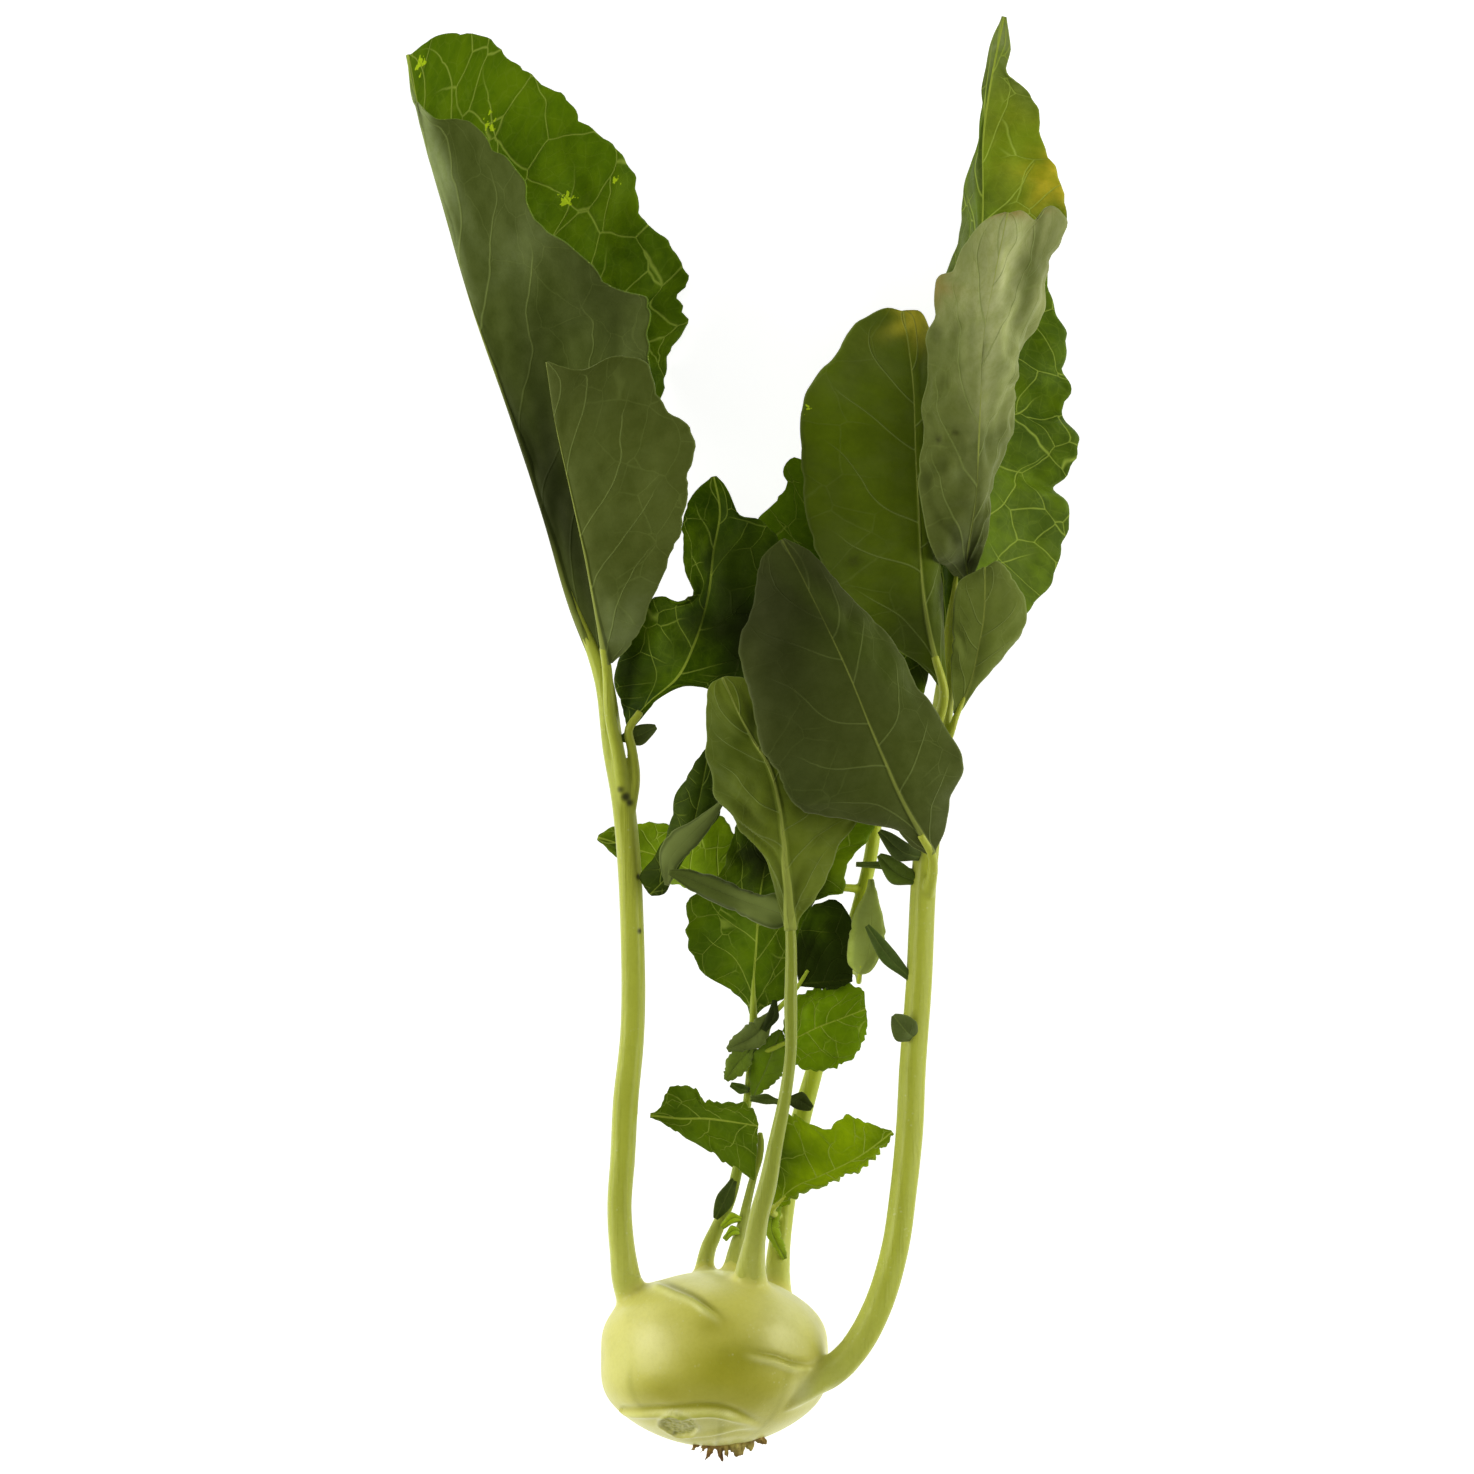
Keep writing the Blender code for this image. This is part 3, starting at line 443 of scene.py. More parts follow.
@dataclass(frozen=True)
class RootFinish:
    """The brown, splintered wood of the cut root."""

    name: str
    bark: Colour
    wood: Colour

    def build(self) -> Material:
        """Make the material.

        Returns:
            The material.
        """
        shader = Shader(self.name, Specular_IOR_Level=0.25)
        place = shader.node("ShaderNodeTexCoord", output="Object")
        fibres = shader.noise(
            shader.node("ShaderNodeMapping", {0: place,
                                              "Scale": (900.0, 220.0, 900.0)}),
            1.0, 4.0, 0.7)
        cloud = shader.noise(place, 260.0, 3.0)
        tone = shader.attribute("tone", "Color")
        shade = shader.mix(cloud.step(0.4, 0.65) * 0.6, tone, self.bark)
        shade = shader.mix(fibres.step(0.5, 0.7) * 0.5, shade, self.wood)
        rough = fibres * 0.2 + 0.7
        return shader.finish(shade, rough, fibres, 0.0008, 1.0)


@dataclass(frozen=True)
class FloorFinish:
    """The plain pale floor."""

    name: str
    colour: Colour
    glow: float

    def build(self) -> Material:
        """Make the material."""
        shader = Shader(self.name, Roughness=0.9, Base_Color=(*self.colour, 1.0),
                        Emission_Color=(1.0, 1.0, 1.0, 1.0),
                        Emission_Strength=self.glow)
        return shader.material


# ---- curves and meshes ----


def gaps_of(points: Sequence[Point]) -> np.ndarray:
    """Distances between the points of a broken line."""
    return np.linalg.norm(np.diff(np.array(points, float), axis=0), axis=1)


def run_along(points: Sequence[Point]) -> np.ndarray:
    """How far along a broken line each of its points lies."""
    return np.concatenate(([0.0], np.cumsum(gaps_of(points))))


def curve_at(points: Sequence[Point], t: np.ndarray) -> np.ndarray:
    """Points of a smooth curve through the given ones.

    Args:
        points: Points to pass through.
        t: Places along the curve, from 0 to 1.

    Returns:
        One point for each place.
    """
    p = np.array(points, float)
    knots = path_knots(points)
    slopes = np.gradient(p, knots, axis=0)
    t = np.atleast_1d(t)
    i = np.clip(np.searchsorted(knots, t, side="right") - 1, 0, len(p) - 2)
    step = (knots[i + 1] - knots[i])[:, None]
    s = (t - knots[i])[:, None] / step
    return ((2 * s**3 - 3 * s**2 + 1) * p[i]
            + (s**3 - 2 * s**2 + s) * step * slopes[i]
            + (3 * s**2 - 2 * s**3) * p[i + 1]
            + (s**3 - s**2) * step * slopes[i + 1])


def path_knots(path: Sequence[Point]) -> np.ndarray:
    """Places of a path's points along it, from 0 to 1."""
    run = run_along(path)
    return run / run[-1]


def length_of(points: Sequence[Point]) -> float:
    """Length of a broken line."""
    return float(gaps_of(points).sum())


def unit(vectors: np.ndarray) -> np.ndarray:
    """Vectors at length one."""
    size = np.linalg.norm(vectors, axis=-1, keepdims=True)
    return vectors / np.maximum(size, 1e-9)


def hump(value: np.ndarray, centre: float, width: float) -> np.ndarray:
    """A smooth hump, 1 at its centre."""
    return np.exp(-((value - centre) / width) ** 2)


def smooth_step(low: float, high: float, value: np.ndarray) -> np.ndarray:
    """A smooth rise from 0 at low to 1 at high."""
    t = np.clip((value - low) / (high - low), 0, 1)
    return t * t * (3 - 2 * t)


def noise_at(place: np.ndarray, scale: float) -> np.ndarray:
    """Smooth noise at places, between about -1 and 1."""
    return np.array([noise.noise(Vector(point) * scale) for point in place])


def read_vectors(mesh: Mesh, what: str) -> np.ndarray:
    """The place ("co") or the normal ("normal") of each vertex."""
    flat = np.empty(len(mesh.vertices) * 3)
    mesh.vertices.foreach_get(what, flat)
    return flat.reshape(-1, 3)


def places_of(mesh: Mesh) -> np.ndarray:
    """Places of a mesh's vertices, in millimetres."""
    return read_vectors(mesh, "co") / MM


def put_corners(mesh: Mesh, places: np.ndarray) -> None:
    """Move a mesh's vertices to places in millimetres."""
    mesh.vertices.foreach_set("co", (places * MM).ravel())
    mesh.update()


def write_values(mesh: Mesh, name: str, values: np.ndarray) -> None:
    """Write a number for each vertex."""
    layer = mesh.attributes.new(name, "FLOAT", "POINT")
    layer.data.foreach_set("value", values.ravel())


def write_colours(mesh: Mesh, name: str, tone: np.ndarray) -> None:
    """Write a colour for each vertex."""
    layer = mesh.attributes.new(name, "FLOAT_COLOR", "POINT")
    full = np.concatenate((tone, np.ones((len(tone), 1))), axis=1)
    layer.data.foreach_set("color", full.ravel())


def placed_grid(name: str, places: np.ndarray) -> Object:
    """A grid whose corners are put at given places.

    Args:
        name: Name of the new object.
        places: Rows by columns by 3, in millimetres.

    Returns:
        The object.
    """
    rows, cols = places.shape[0] - 1, places.shape[1] - 1
    bpy.ops.object.select_all(action="DESELECT")
    bpy.ops.mesh.primitive_grid_add(x_subdivisions=cols, y_subdivisions=rows,
                                    size=2.0)
    item = bpy.context.object
    item.name = name
    col, row = grid_places(item.data, rows, cols)
    put_corners(item.data, places[row, col])
    return item


def grid_places(mesh: Mesh, rows: int, cols: int) -> tuple[np.ndarray, np.ndarray]:
    """Column and row of each corner of a new grid of size 2.

    Args:
        mesh: The grid.
        rows: Its steps one way.
        cols: Its steps the other way.

    Returns:
        The columns and the rows.
    """
    flat = read_vectors(mesh, "co")
    col = np.rint((flat[:, 0] + 1) / 2 * cols).astype(int)
    row = np.rint((flat[:, 1] + 1) / 2 * rows).astype(int)
    return col, row


def apply_all(item: Object) -> None:
    """Apply an object's modifiers in order."""
    bpy.ops.object.select_all(action="DESELECT")
    item.select_set(True)
    bpy.context.view_layer.objects.active = item
    for modifier in list(item.modifiers):
        bpy.ops.object.modifier_apply(modifier=modifier.name)


def melt(item: Object, voxel: float, passes: int) -> None:
    """Fuse an object's shells into one skin and soften it.

    Args:
        item: The object.
        voxel: Grain of the new skin, in millimetres.
        passes: Smoothing passes over the whole skin.
    """
    remesh = item.modifiers.new("melt", "REMESH")
    remesh.mode = "VOXEL"
    remesh.voxel_size = voxel * MM
    remesh.use_smooth_shade = True
    smooth = item.modifiers.new("soften", "SMOOTH")
    smooth.factor = 0.5
    smooth.iterations = passes
    apply_all(item)


def soften_near(item: Object, weights: np.ndarray, passes: int) -> None:
    """Smooth a skin where the weights are high.

    Args:
        item: The object.
        weights: A weight from 0 to 1 for each vertex.
        passes: Smoothing passes.
    """
    group = item.vertex_groups.new(name="soft")
    levels = np.rint(weights * SOFT_LEVELS).astype(int)
    for level in range(1, SOFT_LEVELS + 1):
        chosen = np.nonzero(levels == level)[0]
        if len(chosen):
            group.add(chosen.tolist(), level / SOFT_LEVELS, "REPLACE")
    smooth = item.modifiers.new("soften", "SMOOTH")
    smooth.factor = 0.5
    smooth.iterations = passes
    smooth.vertex_group = "soft"
    apply_all(item)
    item.vertex_groups.clear()


def store_tone(mesh: Mesh, tone: np.ndarray, grain: np.ndarray) -> None:
    """Write the colour and the streakiness that a skin's finish reads.

    Args:
        mesh: The mesh.
        tone: Colour of each vertex.
        grain: Streakiness of each vertex, from 0 to 1.
    """
    write_values(mesh, "grain", grain)
    write_colours(mesh, "tone", tone)


def even_tone(colour: Colour, shape: tuple[int, ...]) -> np.ndarray:
    """One colour at every point."""
    return np.broadcast_to(np.array(colour), shape).copy()


def blend_tones(first: np.ndarray, second: Union[Colour, np.ndarray],
                amount: np.ndarray) -> np.ndarray:
    """Move colours towards a second colour by an amount a point."""
    return first + (np.array(second) - first) * amount[:, None]


def join(parts: Sequence[Object], name: str) -> Object:
    """Join objects into the first and name it.

    Args:
        parts: The objects.
        name: Name of the result.

    Returns:
        The joined object, selected and active.
    """
    bpy.ops.object.select_all(action="DESELECT")
    for part in parts:
        part.select_set(True)
    bpy.context.view_layer.objects.active = parts[0]
    if len(parts) > 1:
        bpy.ops.object.join()
    parts[0].name = name
    parts[0].data.name = name
    return parts[0]


def dress(piece: Object, finish: Material) -> None:
    """Give a piece one material all over, and smooth shading."""
    piece.data.materials.clear()
    piece.data.materials.append(finish)
    bpy.ops.object.shade_smooth()


def place_piece(piece: Object, slot: str, *nodes: str) -> None:
    """Tie a finished piece to the frame.

    Args:
        piece: The piece.
        slot: Not used.
        nodes: Solids that it stands for.
    """
    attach(piece, "root")
    if nodes:
        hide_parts(*nodes)
    LOG.info("%s: %d faces", piece.name, len(piece.data.polygons))


# ---- blades ----

FOLD_SOFTNESS = 0.16
TIP_WIDTH = 0.8
BLADE_THICKNESS = 0.62
RIB_COLUMNS = 4
RIB_SLIMNESS = 0.62


@dataclass(frozen=True)
class Spot:
    """A patch of another colour on a blade, placed as seen from above.

    The side is -1 for the left half, 1 for the right and 0 for both.
    """

    x: float
    y: float
    size: float
    colour: Colour
    strength: float = 0.8
    side: int = 0
    stretch: float = 1.0
    lean: float = 0.0
    fleck: bool = False


@dataclass(frozen=True)
class Sheet:
    """A blade between two edges, all three curves running from base to tip.

    Pairs are for the left and the right edge, or for base and tip where they
    are radii.  The field named up says which face of the leaf looks up.
    """

    rib: Line
    left: Line
    right: Line
    teeth: tuple[int, int] = (0, 0)
    tooth_depth: float = 0.0
    saw: float = 0.3
    cup: Pair = (0.0, 0.0)
    ruffle: float = 0.0
    waves: float = 3.0
    rib_radius: Pair = (1.4, 0.5)
    thickness: float = BLADE_THICKNESS
    up: Face = Face.UPPER
    # The upper face's colour is partly its own green and partly painted glow of light shining through
    # the leaf.
    upper: Colour = srgb(72, 105, 12)
    under: Colour = srgb(78, 90, 42)
    veins: int = 6
    slant: float = 1.0
    folds: float = 1.0
    buckle: float = 1.0
    plain: bool = False
    spots: tuple[Spot, ...] = ()
    step: float = 1.25

    def edge(self, side: int, v: np.ndarray) -> np.ndarray:
        """One edge of the sheet, with rounded teeth.

        Args:
            side: 0 for the left edge, 1 for the right.
            v: Places from base to tip.

        Returns:
            Points of the edge.
        """
        rib = np.array(self.rib, float)
        middle = np.array((self.left, self.right)[side], float)
        ends = []
        for end, inner, near, width in (
                (rib[0], rib[1], middle[0], max(self.rib_radius[0], TIP_WIDTH)),
                (rib[-1], rib[-2], middle[-1], TIP_WIDTH)):
            along = unit(inner - end)
            aside = near - end
            ends.append(end + width * unit(aside - np.dot(aside, along) * along))
        edge = curve_at(np.concatenate(([ends[0]], middle, [ends[1]])), v)
        count = self.teeth[side]
        if not count:
            return edge
        uneven = v + 0.16 / count * np.sin(2 * math.pi * (2.3 * v + side))
        tooth = np.abs(np.sin(math.pi * count * uneven)) ** 0.8 - 0.6
        small = np.abs(np.sin(math.pi * 2.7 * count * uneven + 0.7)) - 0.6
        small *= 1 + 0.7 * np.sin(9.1 * count * v + side)
        point = np.abs(2 * np.mod(2.2 * count * uneven + 0.3 * side, 1) - 1)
        point = (point - 0.5) * (1 + 0.6 * np.sin(5.3 * count * v + 2 * side))
        fade = np.clip(np.sin(math.pi * v), 0, 1) ** 0.4
        outward = unit(edge - curve_at(self.rib, v))
        depth = self.tooth_depth * (1.3 * tooth + 0.6 * small)
        depth = fade * (depth + self.saw * point)
        return edge + outward * depth[:, None]

    def columns(self, v: np.ndarray, half: np.ndarray, count: int) -> np.ndarray:
        """Places across each row, close together over the rib.

        Args:
            v: Places from base to tip.
            half: Half width of each row.
            count: Columns on each side.

        Returns:
            Places from -1 at the left edge to 1 at the right.
        """
        radius = np.interp(v, (0, 1), self.rib_radius)
        narrow = np.clip(radius / half, 0.02, 0.5)[:, None]
        step = np.abs(np.arange(-count, count + 1))[None, :]
        inner = np.minimum(step, RIB_COLUMNS) / RIB_COLUMNS * narrow
        outer = np.maximum(step - RIB_COLUMNS, 0) / (count - RIB_COLUMNS)
        reach = inner + outer * (1 - narrow)
        return np.sign(np.arange(-count, count + 1))[None, :] * reach



def grid_normals(grid: np.ndarray) -> np.ndarray:
    """Unit normals of a grid of points, in the grid's own sense."""
    along = np.gradient(grid, axis=0)
    across = np.gradient(grid, axis=1)
    return unit(np.cross(across, along))


@dataclass
class Lamina:
    """The points and the maps of one sheet, worked out at fine grain."""

    sheet: Sheet
    least_rows: int = 24
    least_columns: int = 5
    least_rib: float = 0.34
    rib_taper: float = 0.45
    pleat: Pair = (0.018, 0.6)
    bulging: Pair = (0.07, 2.2)
    bulge_sizes: Pair = (17.0, 5.5)

    def __post_init__(self) -> None:
        """Work out the grid."""
        sheet = self.sheet
        length = length_of(sheet.rib)
        self.rows = max(self.least_rows, int(length / sheet.step))
        v = np.linspace(0, 1, self.rows + 1)
        left = sheet.edge(0, v)
        right = sheet.edge(1, v)
        rib = curve_at(sheet.rib, v) - FOLD_SOFTNESS / 2 * (left + right)
        rib /= 1 - FOLD_SOFTNESS
        self.half = 0.5 * (np.linalg.norm(left - rib, axis=1)
                           + np.linalg.norm(right - rib, axis=1))
        self.count = RIB_COLUMNS + max(self.least_columns,
                                       int(self.half.max() / sheet.step))
        u = sheet.columns(v, self.half, self.count)
        soft = np.sqrt(u**2 + FOLD_SOFTNESS**2)
        grid = (rib[:, None] + ((soft - u) / 2)[..., None] * (left - rib)[:, None]
                + ((soft + u) / 2)[..., None] * (right - rib)[:, None])
        normal = grid_normals(grid)
        self.sense = 1.0 if normal[:, self.count, 2].sum() >= 0 else -1.0
        reach = np.abs(u)
        fade = np.sin(math.pi * v)[:, None]
        cup = np.where(u < 0, sheet.cup[0], sheet.cup[1])
        side = np.where(u < 0, 0.0, 1.7)
        wave = np.sin(2 * math.pi * sheet.waves * v[:, None] + side)
        lift = fade * (cup * 4 * reach * (1 - reach)
                       + sheet.ruffle * reach**2 * wave)
        self.u, self.v = u, np.broadcast_to(v[:, None], u.shape)
        self.distance = reach * self.half[:, None]
        radius = np.interp(v, (0, 1), sheet.rib_radius) * RIB_SLIMNESS
        radius = np.maximum(radius * (1 - self.rib_taper * v), self.least_rib)
        self.radius = np.broadcast_to(radius[:, None], u.shape)
        self.phase = self.vein_phase(length)
        lift = lift * self.sense + self.quilting(fade, grid)
        self.grid = grid + normal * lift[..., None]
        self.length = length

    def vein_phase(self, length: float) -> np.ndarray:
        """Count of side veins passed, half a step apart on the two sides.

        Args:
            length: Length of the middle rib.

        Returns:
            The count at each point.
        """
        sheet = self.sheet
        slant = sheet.veins * sheet.slant * self.half.max() / length
        side = np.where(self.u < 0, 0.0, 0.45)
        curve = np.abs(self.u) ** 1.15
        wander = 0.14 * np.sin(2.9 * sheet.veins * self.v + side)
        wander += 0.05 * np.sin(11.0 * self.v - 7.0 * self.u)
        return sheet.veins * self.v ** 1.1 - slant * curve + side + wander + 6.0

    def quilting(self, fade: np.ndarray, rough: np.ndarray) -> np.ndarray:
        """How the blade swells between its side veins, and its slow bulges.

        Args:
            fade: Strength of the swelling along the blade.
            rough: The plain grid.

        Returns:
            How far each point is moved, in the grid's own sense.
        """
        sheet, size = self.sheet, self.half.max()
        slow, quick = self.bulge_sizes
        swell = np.cos(2 * math.pi * self.phase)
        pleat = min(size * self.pleat[0], self.pleat[1]) * sheet.folds
        up = self.sense if sheet.up is Face.UPPER else -self.sense
        body = np.clip(self.distance / 6.0, 0, 1) * fade
        bulge = np.array([
            noise.noise(Vector(point) / slow) + 0.35 * noise.noise(Vector(point) / quick)
            for point in rough.reshape(-1, 3)]).reshape(self.u.shape)
        uneven = 0.6 + 0.8 * np.sin(3.1 * self.u + 9.0 * self.v)
        return body * (up * pleat * swell * uneven
                       + min(size * self.bulging[0], self.bulging[1])
                       * sheet.buckle * bulge)

    def tones(self) -> tuple[np.ndarray, np.ndarray]:
        """Colours of the upper and under face at each point.

        Returns:
            The upper colours and the under colours.
        """
        sheet = self.sheet
        shape = (*self.u.shape, 3)
        upper = even_tone(sheet.upper, shape)
        under = even_tone(sheet.under, shape)
        drift = 1 + 0.10 * np.sin(2.1 * self.v * math.pi + 3 * self.u)
        upper *= drift[..., None]
        for spot in sheet.spots:
            if not spot.fleck:
                amount = self.cover(spot)[..., None]
                upper = upper * (1 - amount) + np.array(spot.colour) * amount
                under = under * (1 - amount) + np.array(spot.colour) * amount
        return upper, under

    def cover(self, spot: Spot) -> np.ndarray:
        """How much a spot covers each point.

        Args:
            spot: The spot.

        Returns:
            Amounts from 0 to the spot's strength.
        """
        c, s = math.cos(spot.lean), math.sin(spot.lean)
        dx, dy = self.grid[..., 0] - spot.x, self.grid[..., 1] - spot.y
        along, across = c * dx + s * dy, (c * dy - s * dx) * spot.stretch
        ragged = 1 + 0.25 * np.sin(5 * np.arctan2(across, along) + spot.x)
        near = np.exp(-(along**2 + across**2) / (spot.size * ragged) ** 2)
        return spot.strength * near * np.where(self.u * spot.side < 0, 0.0, 1.0)

    def make(self, name: str, faces: dict[Face, Material]) -> Object:
        """Lay a grid on the sheet and give it its thickness.

        Args:
            name: Name of the new object.
            faces: Material of each face of a leaf.

        Returns:
            The object, with its maps and its two materials.
        """
        under = -self.sense if self.sheet.up is Face.UPPER else self.sense
        ridge = self.ridge()
        shift = under * (ridge / 2)[..., None] * grid_normals(self.grid)
        item = placed_grid(name, self.grid + shift)
        mesh = item.data
        order = [Face.UPPER, Face.UNDER] if under < 0 else [Face.UNDER, Face.UPPER]
        for face in order:
            mesh.materials.append(faces[face])
        cols = 2 * self.count
        row, col = np.divmod(np.arange(len(mesh.vertices)), cols + 1)
        self.store_maps(mesh, row, col)
        self.thicken(item, ridge[row, col])
        return item

    def ridge(self) -> np.ndarray:
        """Extra thickness of the blade over its middle rib.

        Returns:
            The extra thickness at each point, in millimetres.
        """
        inside = np.clip(1 - (self.distance / (1.25 * self.radius)) ** 2, 0, 1)
        return 1.5 * np.maximum(self.radius - self.sheet.thickness / 2,
                                0) * inside ** 0.6

    def spacing(self) -> np.ndarray:
        """Distance between side veins.

        Returns:
            The distance at each point, in millimetres.
        """
        slope = np.zeros(self.u.shape)
        for axis in (0, 1):
            step = np.linalg.norm(np.gradient(self.grid, axis=axis), axis=-1)
            slope += (np.gradient(self.phase, axis=axis)
                      / np.maximum(step, 1e-3)) ** 2
        return 1 / np.sqrt(np.maximum(slope, 1e-6))

    def store_maps(self, mesh: Mesh, row: np.ndarray, col: np.ndarray) -> None:
        """Write the UV maps and the attributes that the finishes read.

        Args:
            mesh: The blade's mesh.
            row: Row of each vertex in the grid.
            col: Column of each vertex in the grid.
        """
        upper, under = self.tones()
        side = np.sign(self.u)
        lace = np.stack((self.phase / PHASE_SCALE, self.distance / RIB_SCALE), axis=-1)
        flat = np.stack((side * self.distance / FLAT_SCALE + 4 * side,
                         self.v * self.length / FLAT_SCALE), axis=-1)
        for name, values in (("lace", lace), ("flat", flat)):
            layer = mesh.uv_layers.get(name) or mesh.uv_layers.new(name=name)
            corners = np.empty(len(mesh.loops), dtype=np.int32)
            mesh.loops.foreach_get("vertex_index", corners)
            layer.data.foreach_set("uv", values[row, col][corners].ravel())
        margin = (1 - np.abs(self.u)) * self.half[:, None]
        pitch = np.full(self.u.shape, self.length / self.sheet.veins * 0.8)
        fleck = np.zeros(self.u.shape)
        for spot in self.sheet.spots:
            if spot.fleck:
                fleck = np.maximum(fleck, self.cover(spot))
        rib = np.maximum(self.radius - 0.35, 0.1)
        spacing = np.minimum(self.spacing(), pitch * 3)
        if self.sheet.plain:
            pitch, rib = pitch * 1000, np.full(rib.shape, -2.0)
        for name, values in (("reach", np.abs(self.u)), ("margin", margin),
                             ("pitch", pitch), ("spacing", spacing),
                             ("rib", rib), ("fleck", fleck)):
            write_values(mesh, name, values[row, col])
        write_colours(mesh, "upper_tone", upper[row, col])
        write_colours(mesh, "under_tone", under[row, col])

    def thicken(self, item: Object, ridge: np.ndarray) -> None:
        """Give the sheet its thickness, more over the rib.

        Args:
            item: The sheet.
            ridge: Extra thickness at each vertex.
        """
        thickest = ridge.max() + self.sheet.thickness
        group = item.vertex_groups.new(name="depth")
        group.add(list(range(len(ridge))),
                  float(self.sheet.thickness / thickest), "REPLACE")
        for index in np.nonzero(ridge > 0.01)[0]:
            weight = (self.sheet.thickness + ridge[index]) / thickest
            group.add([int(index)], float(weight), "REPLACE")
        shell = item.modifiers.new("thickness", "SOLIDIFY")
        shell.thickness = thickest * MM
        shell.offset = 0.0
        shell.vertex_group = "depth"
        shell.material_offset = 1
        shell.material_offset_rim = 0
        bpy.ops.object.modifier_apply(modifier=shell.name)
        item.vertex_groups.clear()


@dataclass
class Blades:
    """The leaf blades: each piece is one or more sheets joined."""

    upper: LeafFinish
    under: LeafFinish

    def __post_init__(self) -> None:
        """Make the two materials."""
        self.materials = {Face.UPPER: self.upper.build(),
                          Face.UNDER: self.under.build()}

    def lay(self, name: str, sheets: Iterable[Sheet]) -> Object:
        """Build one blade.

        Args:
            name: Name of the piece.
            sheets: The sheets that it is made of.

        Returns:
            The piece, dressed on both faces.
        """
        parts = [Lamina(sheet).make(f"{name}_{index}", self.materials)
                 for index, sheet in enumerate(sheets)]
        piece = join(parts, name)
        bpy.ops.object.shade_smooth()
        return piece


# ---- limbs ----


@dataclass(frozen=True)
class Limb:
    """A tapered round limb along a smooth path, its radii at the points."""

    path: Line
    radii: Radii
    ribs: float = 0.0
    rows: float = 1.4
    sides: int = 28

    def radius_at(self, t: np.ndarray) -> np.ndarray:
        """Radius at places along the path."""
        knots = path_knots(self.path)
        if len(self.radii) != len(self.path):
            knots = np.linspace(0, 1, len(self.radii))
        return np.interp(t, knots, self.radii)

    def points(self, count: int) -> np.ndarray:
        """Rings of points round the path.

        Args:
            count: Number of steps along the path.

        Returns:
            Grid of points, its first ring repeated at the end of each row.
        """
        t = np.linspace(0, 1, count + 1)
        centre = curve_at(self.path, t)
        tangent = unit(np.gradient(centre, axis=0))
        side = unit(np.cross(tangent[0], (0.13, 0.21, 0.97)))
        turn = np.linspace(0, 2 * math.pi, self.sides + 1)
        rings = []
        for middle, along, radius in zip(centre, tangent, self.radius_at(t)):
            side = unit(side - np.dot(side, along) * along)
            other = np.cross(along, side)
            wide = radius * (1 + self.ribs * np.cos(5 * turn + 0.4))
            rings.append(middle + np.outer(wide * np.cos(turn), side)
                         + np.outer(wide * np.sin(turn), other))
        return np.array(rings)

    def make(self, name: str) -> Object:
        """Wrap a grid round the path and close its ends.

        Args:
            name: Name of the new object.

        Returns:
            The closed limb.
        """
        count = max(6, int(length_of(self.path) / self.rows))
        item = placed_grid(name, self.points(count))
        bpy.ops.object.mode_set(mode="EDIT")
        bpy.ops.mesh.select_all(action="SELECT")
        bpy.ops.mesh.remove_doubles(threshold=SEAM_GAP)
        bpy.ops.mesh.select_all(action="SELECT")
        bpy.ops.mesh.fill_holes(sides=0)
        bpy.ops.mesh.select_all(action="SELECT")
        bpy.ops.mesh.normals_make_consistent(inside=False)
        bpy.ops.object.mode_set(mode="OBJECT")
        return item


@dataclass(frozen=True)
class Leaflet:
    """A small oval leaflet on a stalk, its curve through three points."""

    root: Point
    middle: Point
    tip: Point
    half: float
    colour: Colour = srgb(84, 98, 46)
    curl: float = 0.5
    teeth: int = 0

    def sheet(self) -> Sheet:
        """The leaflet as a sheet."""
        spine = np.array((self.root, self.middle, self.tip), float)
        along = unit(spine[2] - spine[0])
        aside = unit(np.cross(along, (0.0, 0.0, 1.0))) * self.half
        low = spine[0] + 0.35 * (spine[1] - spine[0])
        high = spine[1] + 0.65 * (spine[2] - spine[1])
        left = (low - 0.5 * aside, spine[1] - aside, high - 0.62 * aside)
        right = (low + 0.5 * aside, spine[1] + aside, high + 0.62 * aside)
        return Sheet(rib=tuple(map(tuple, spine)), left=tuple(map(tuple, left)),
                     right=tuple(map(tuple, right)), rib_radius=(0.5, 0.3),
                     cup=(self.curl, self.curl), thickness=0.7,
                     teeth=(self.teeth, self.teeth), tooth_depth=0.35, saw=0.6,
                     upper=self.colour, under=self.colour, veins=4, step=0.5)


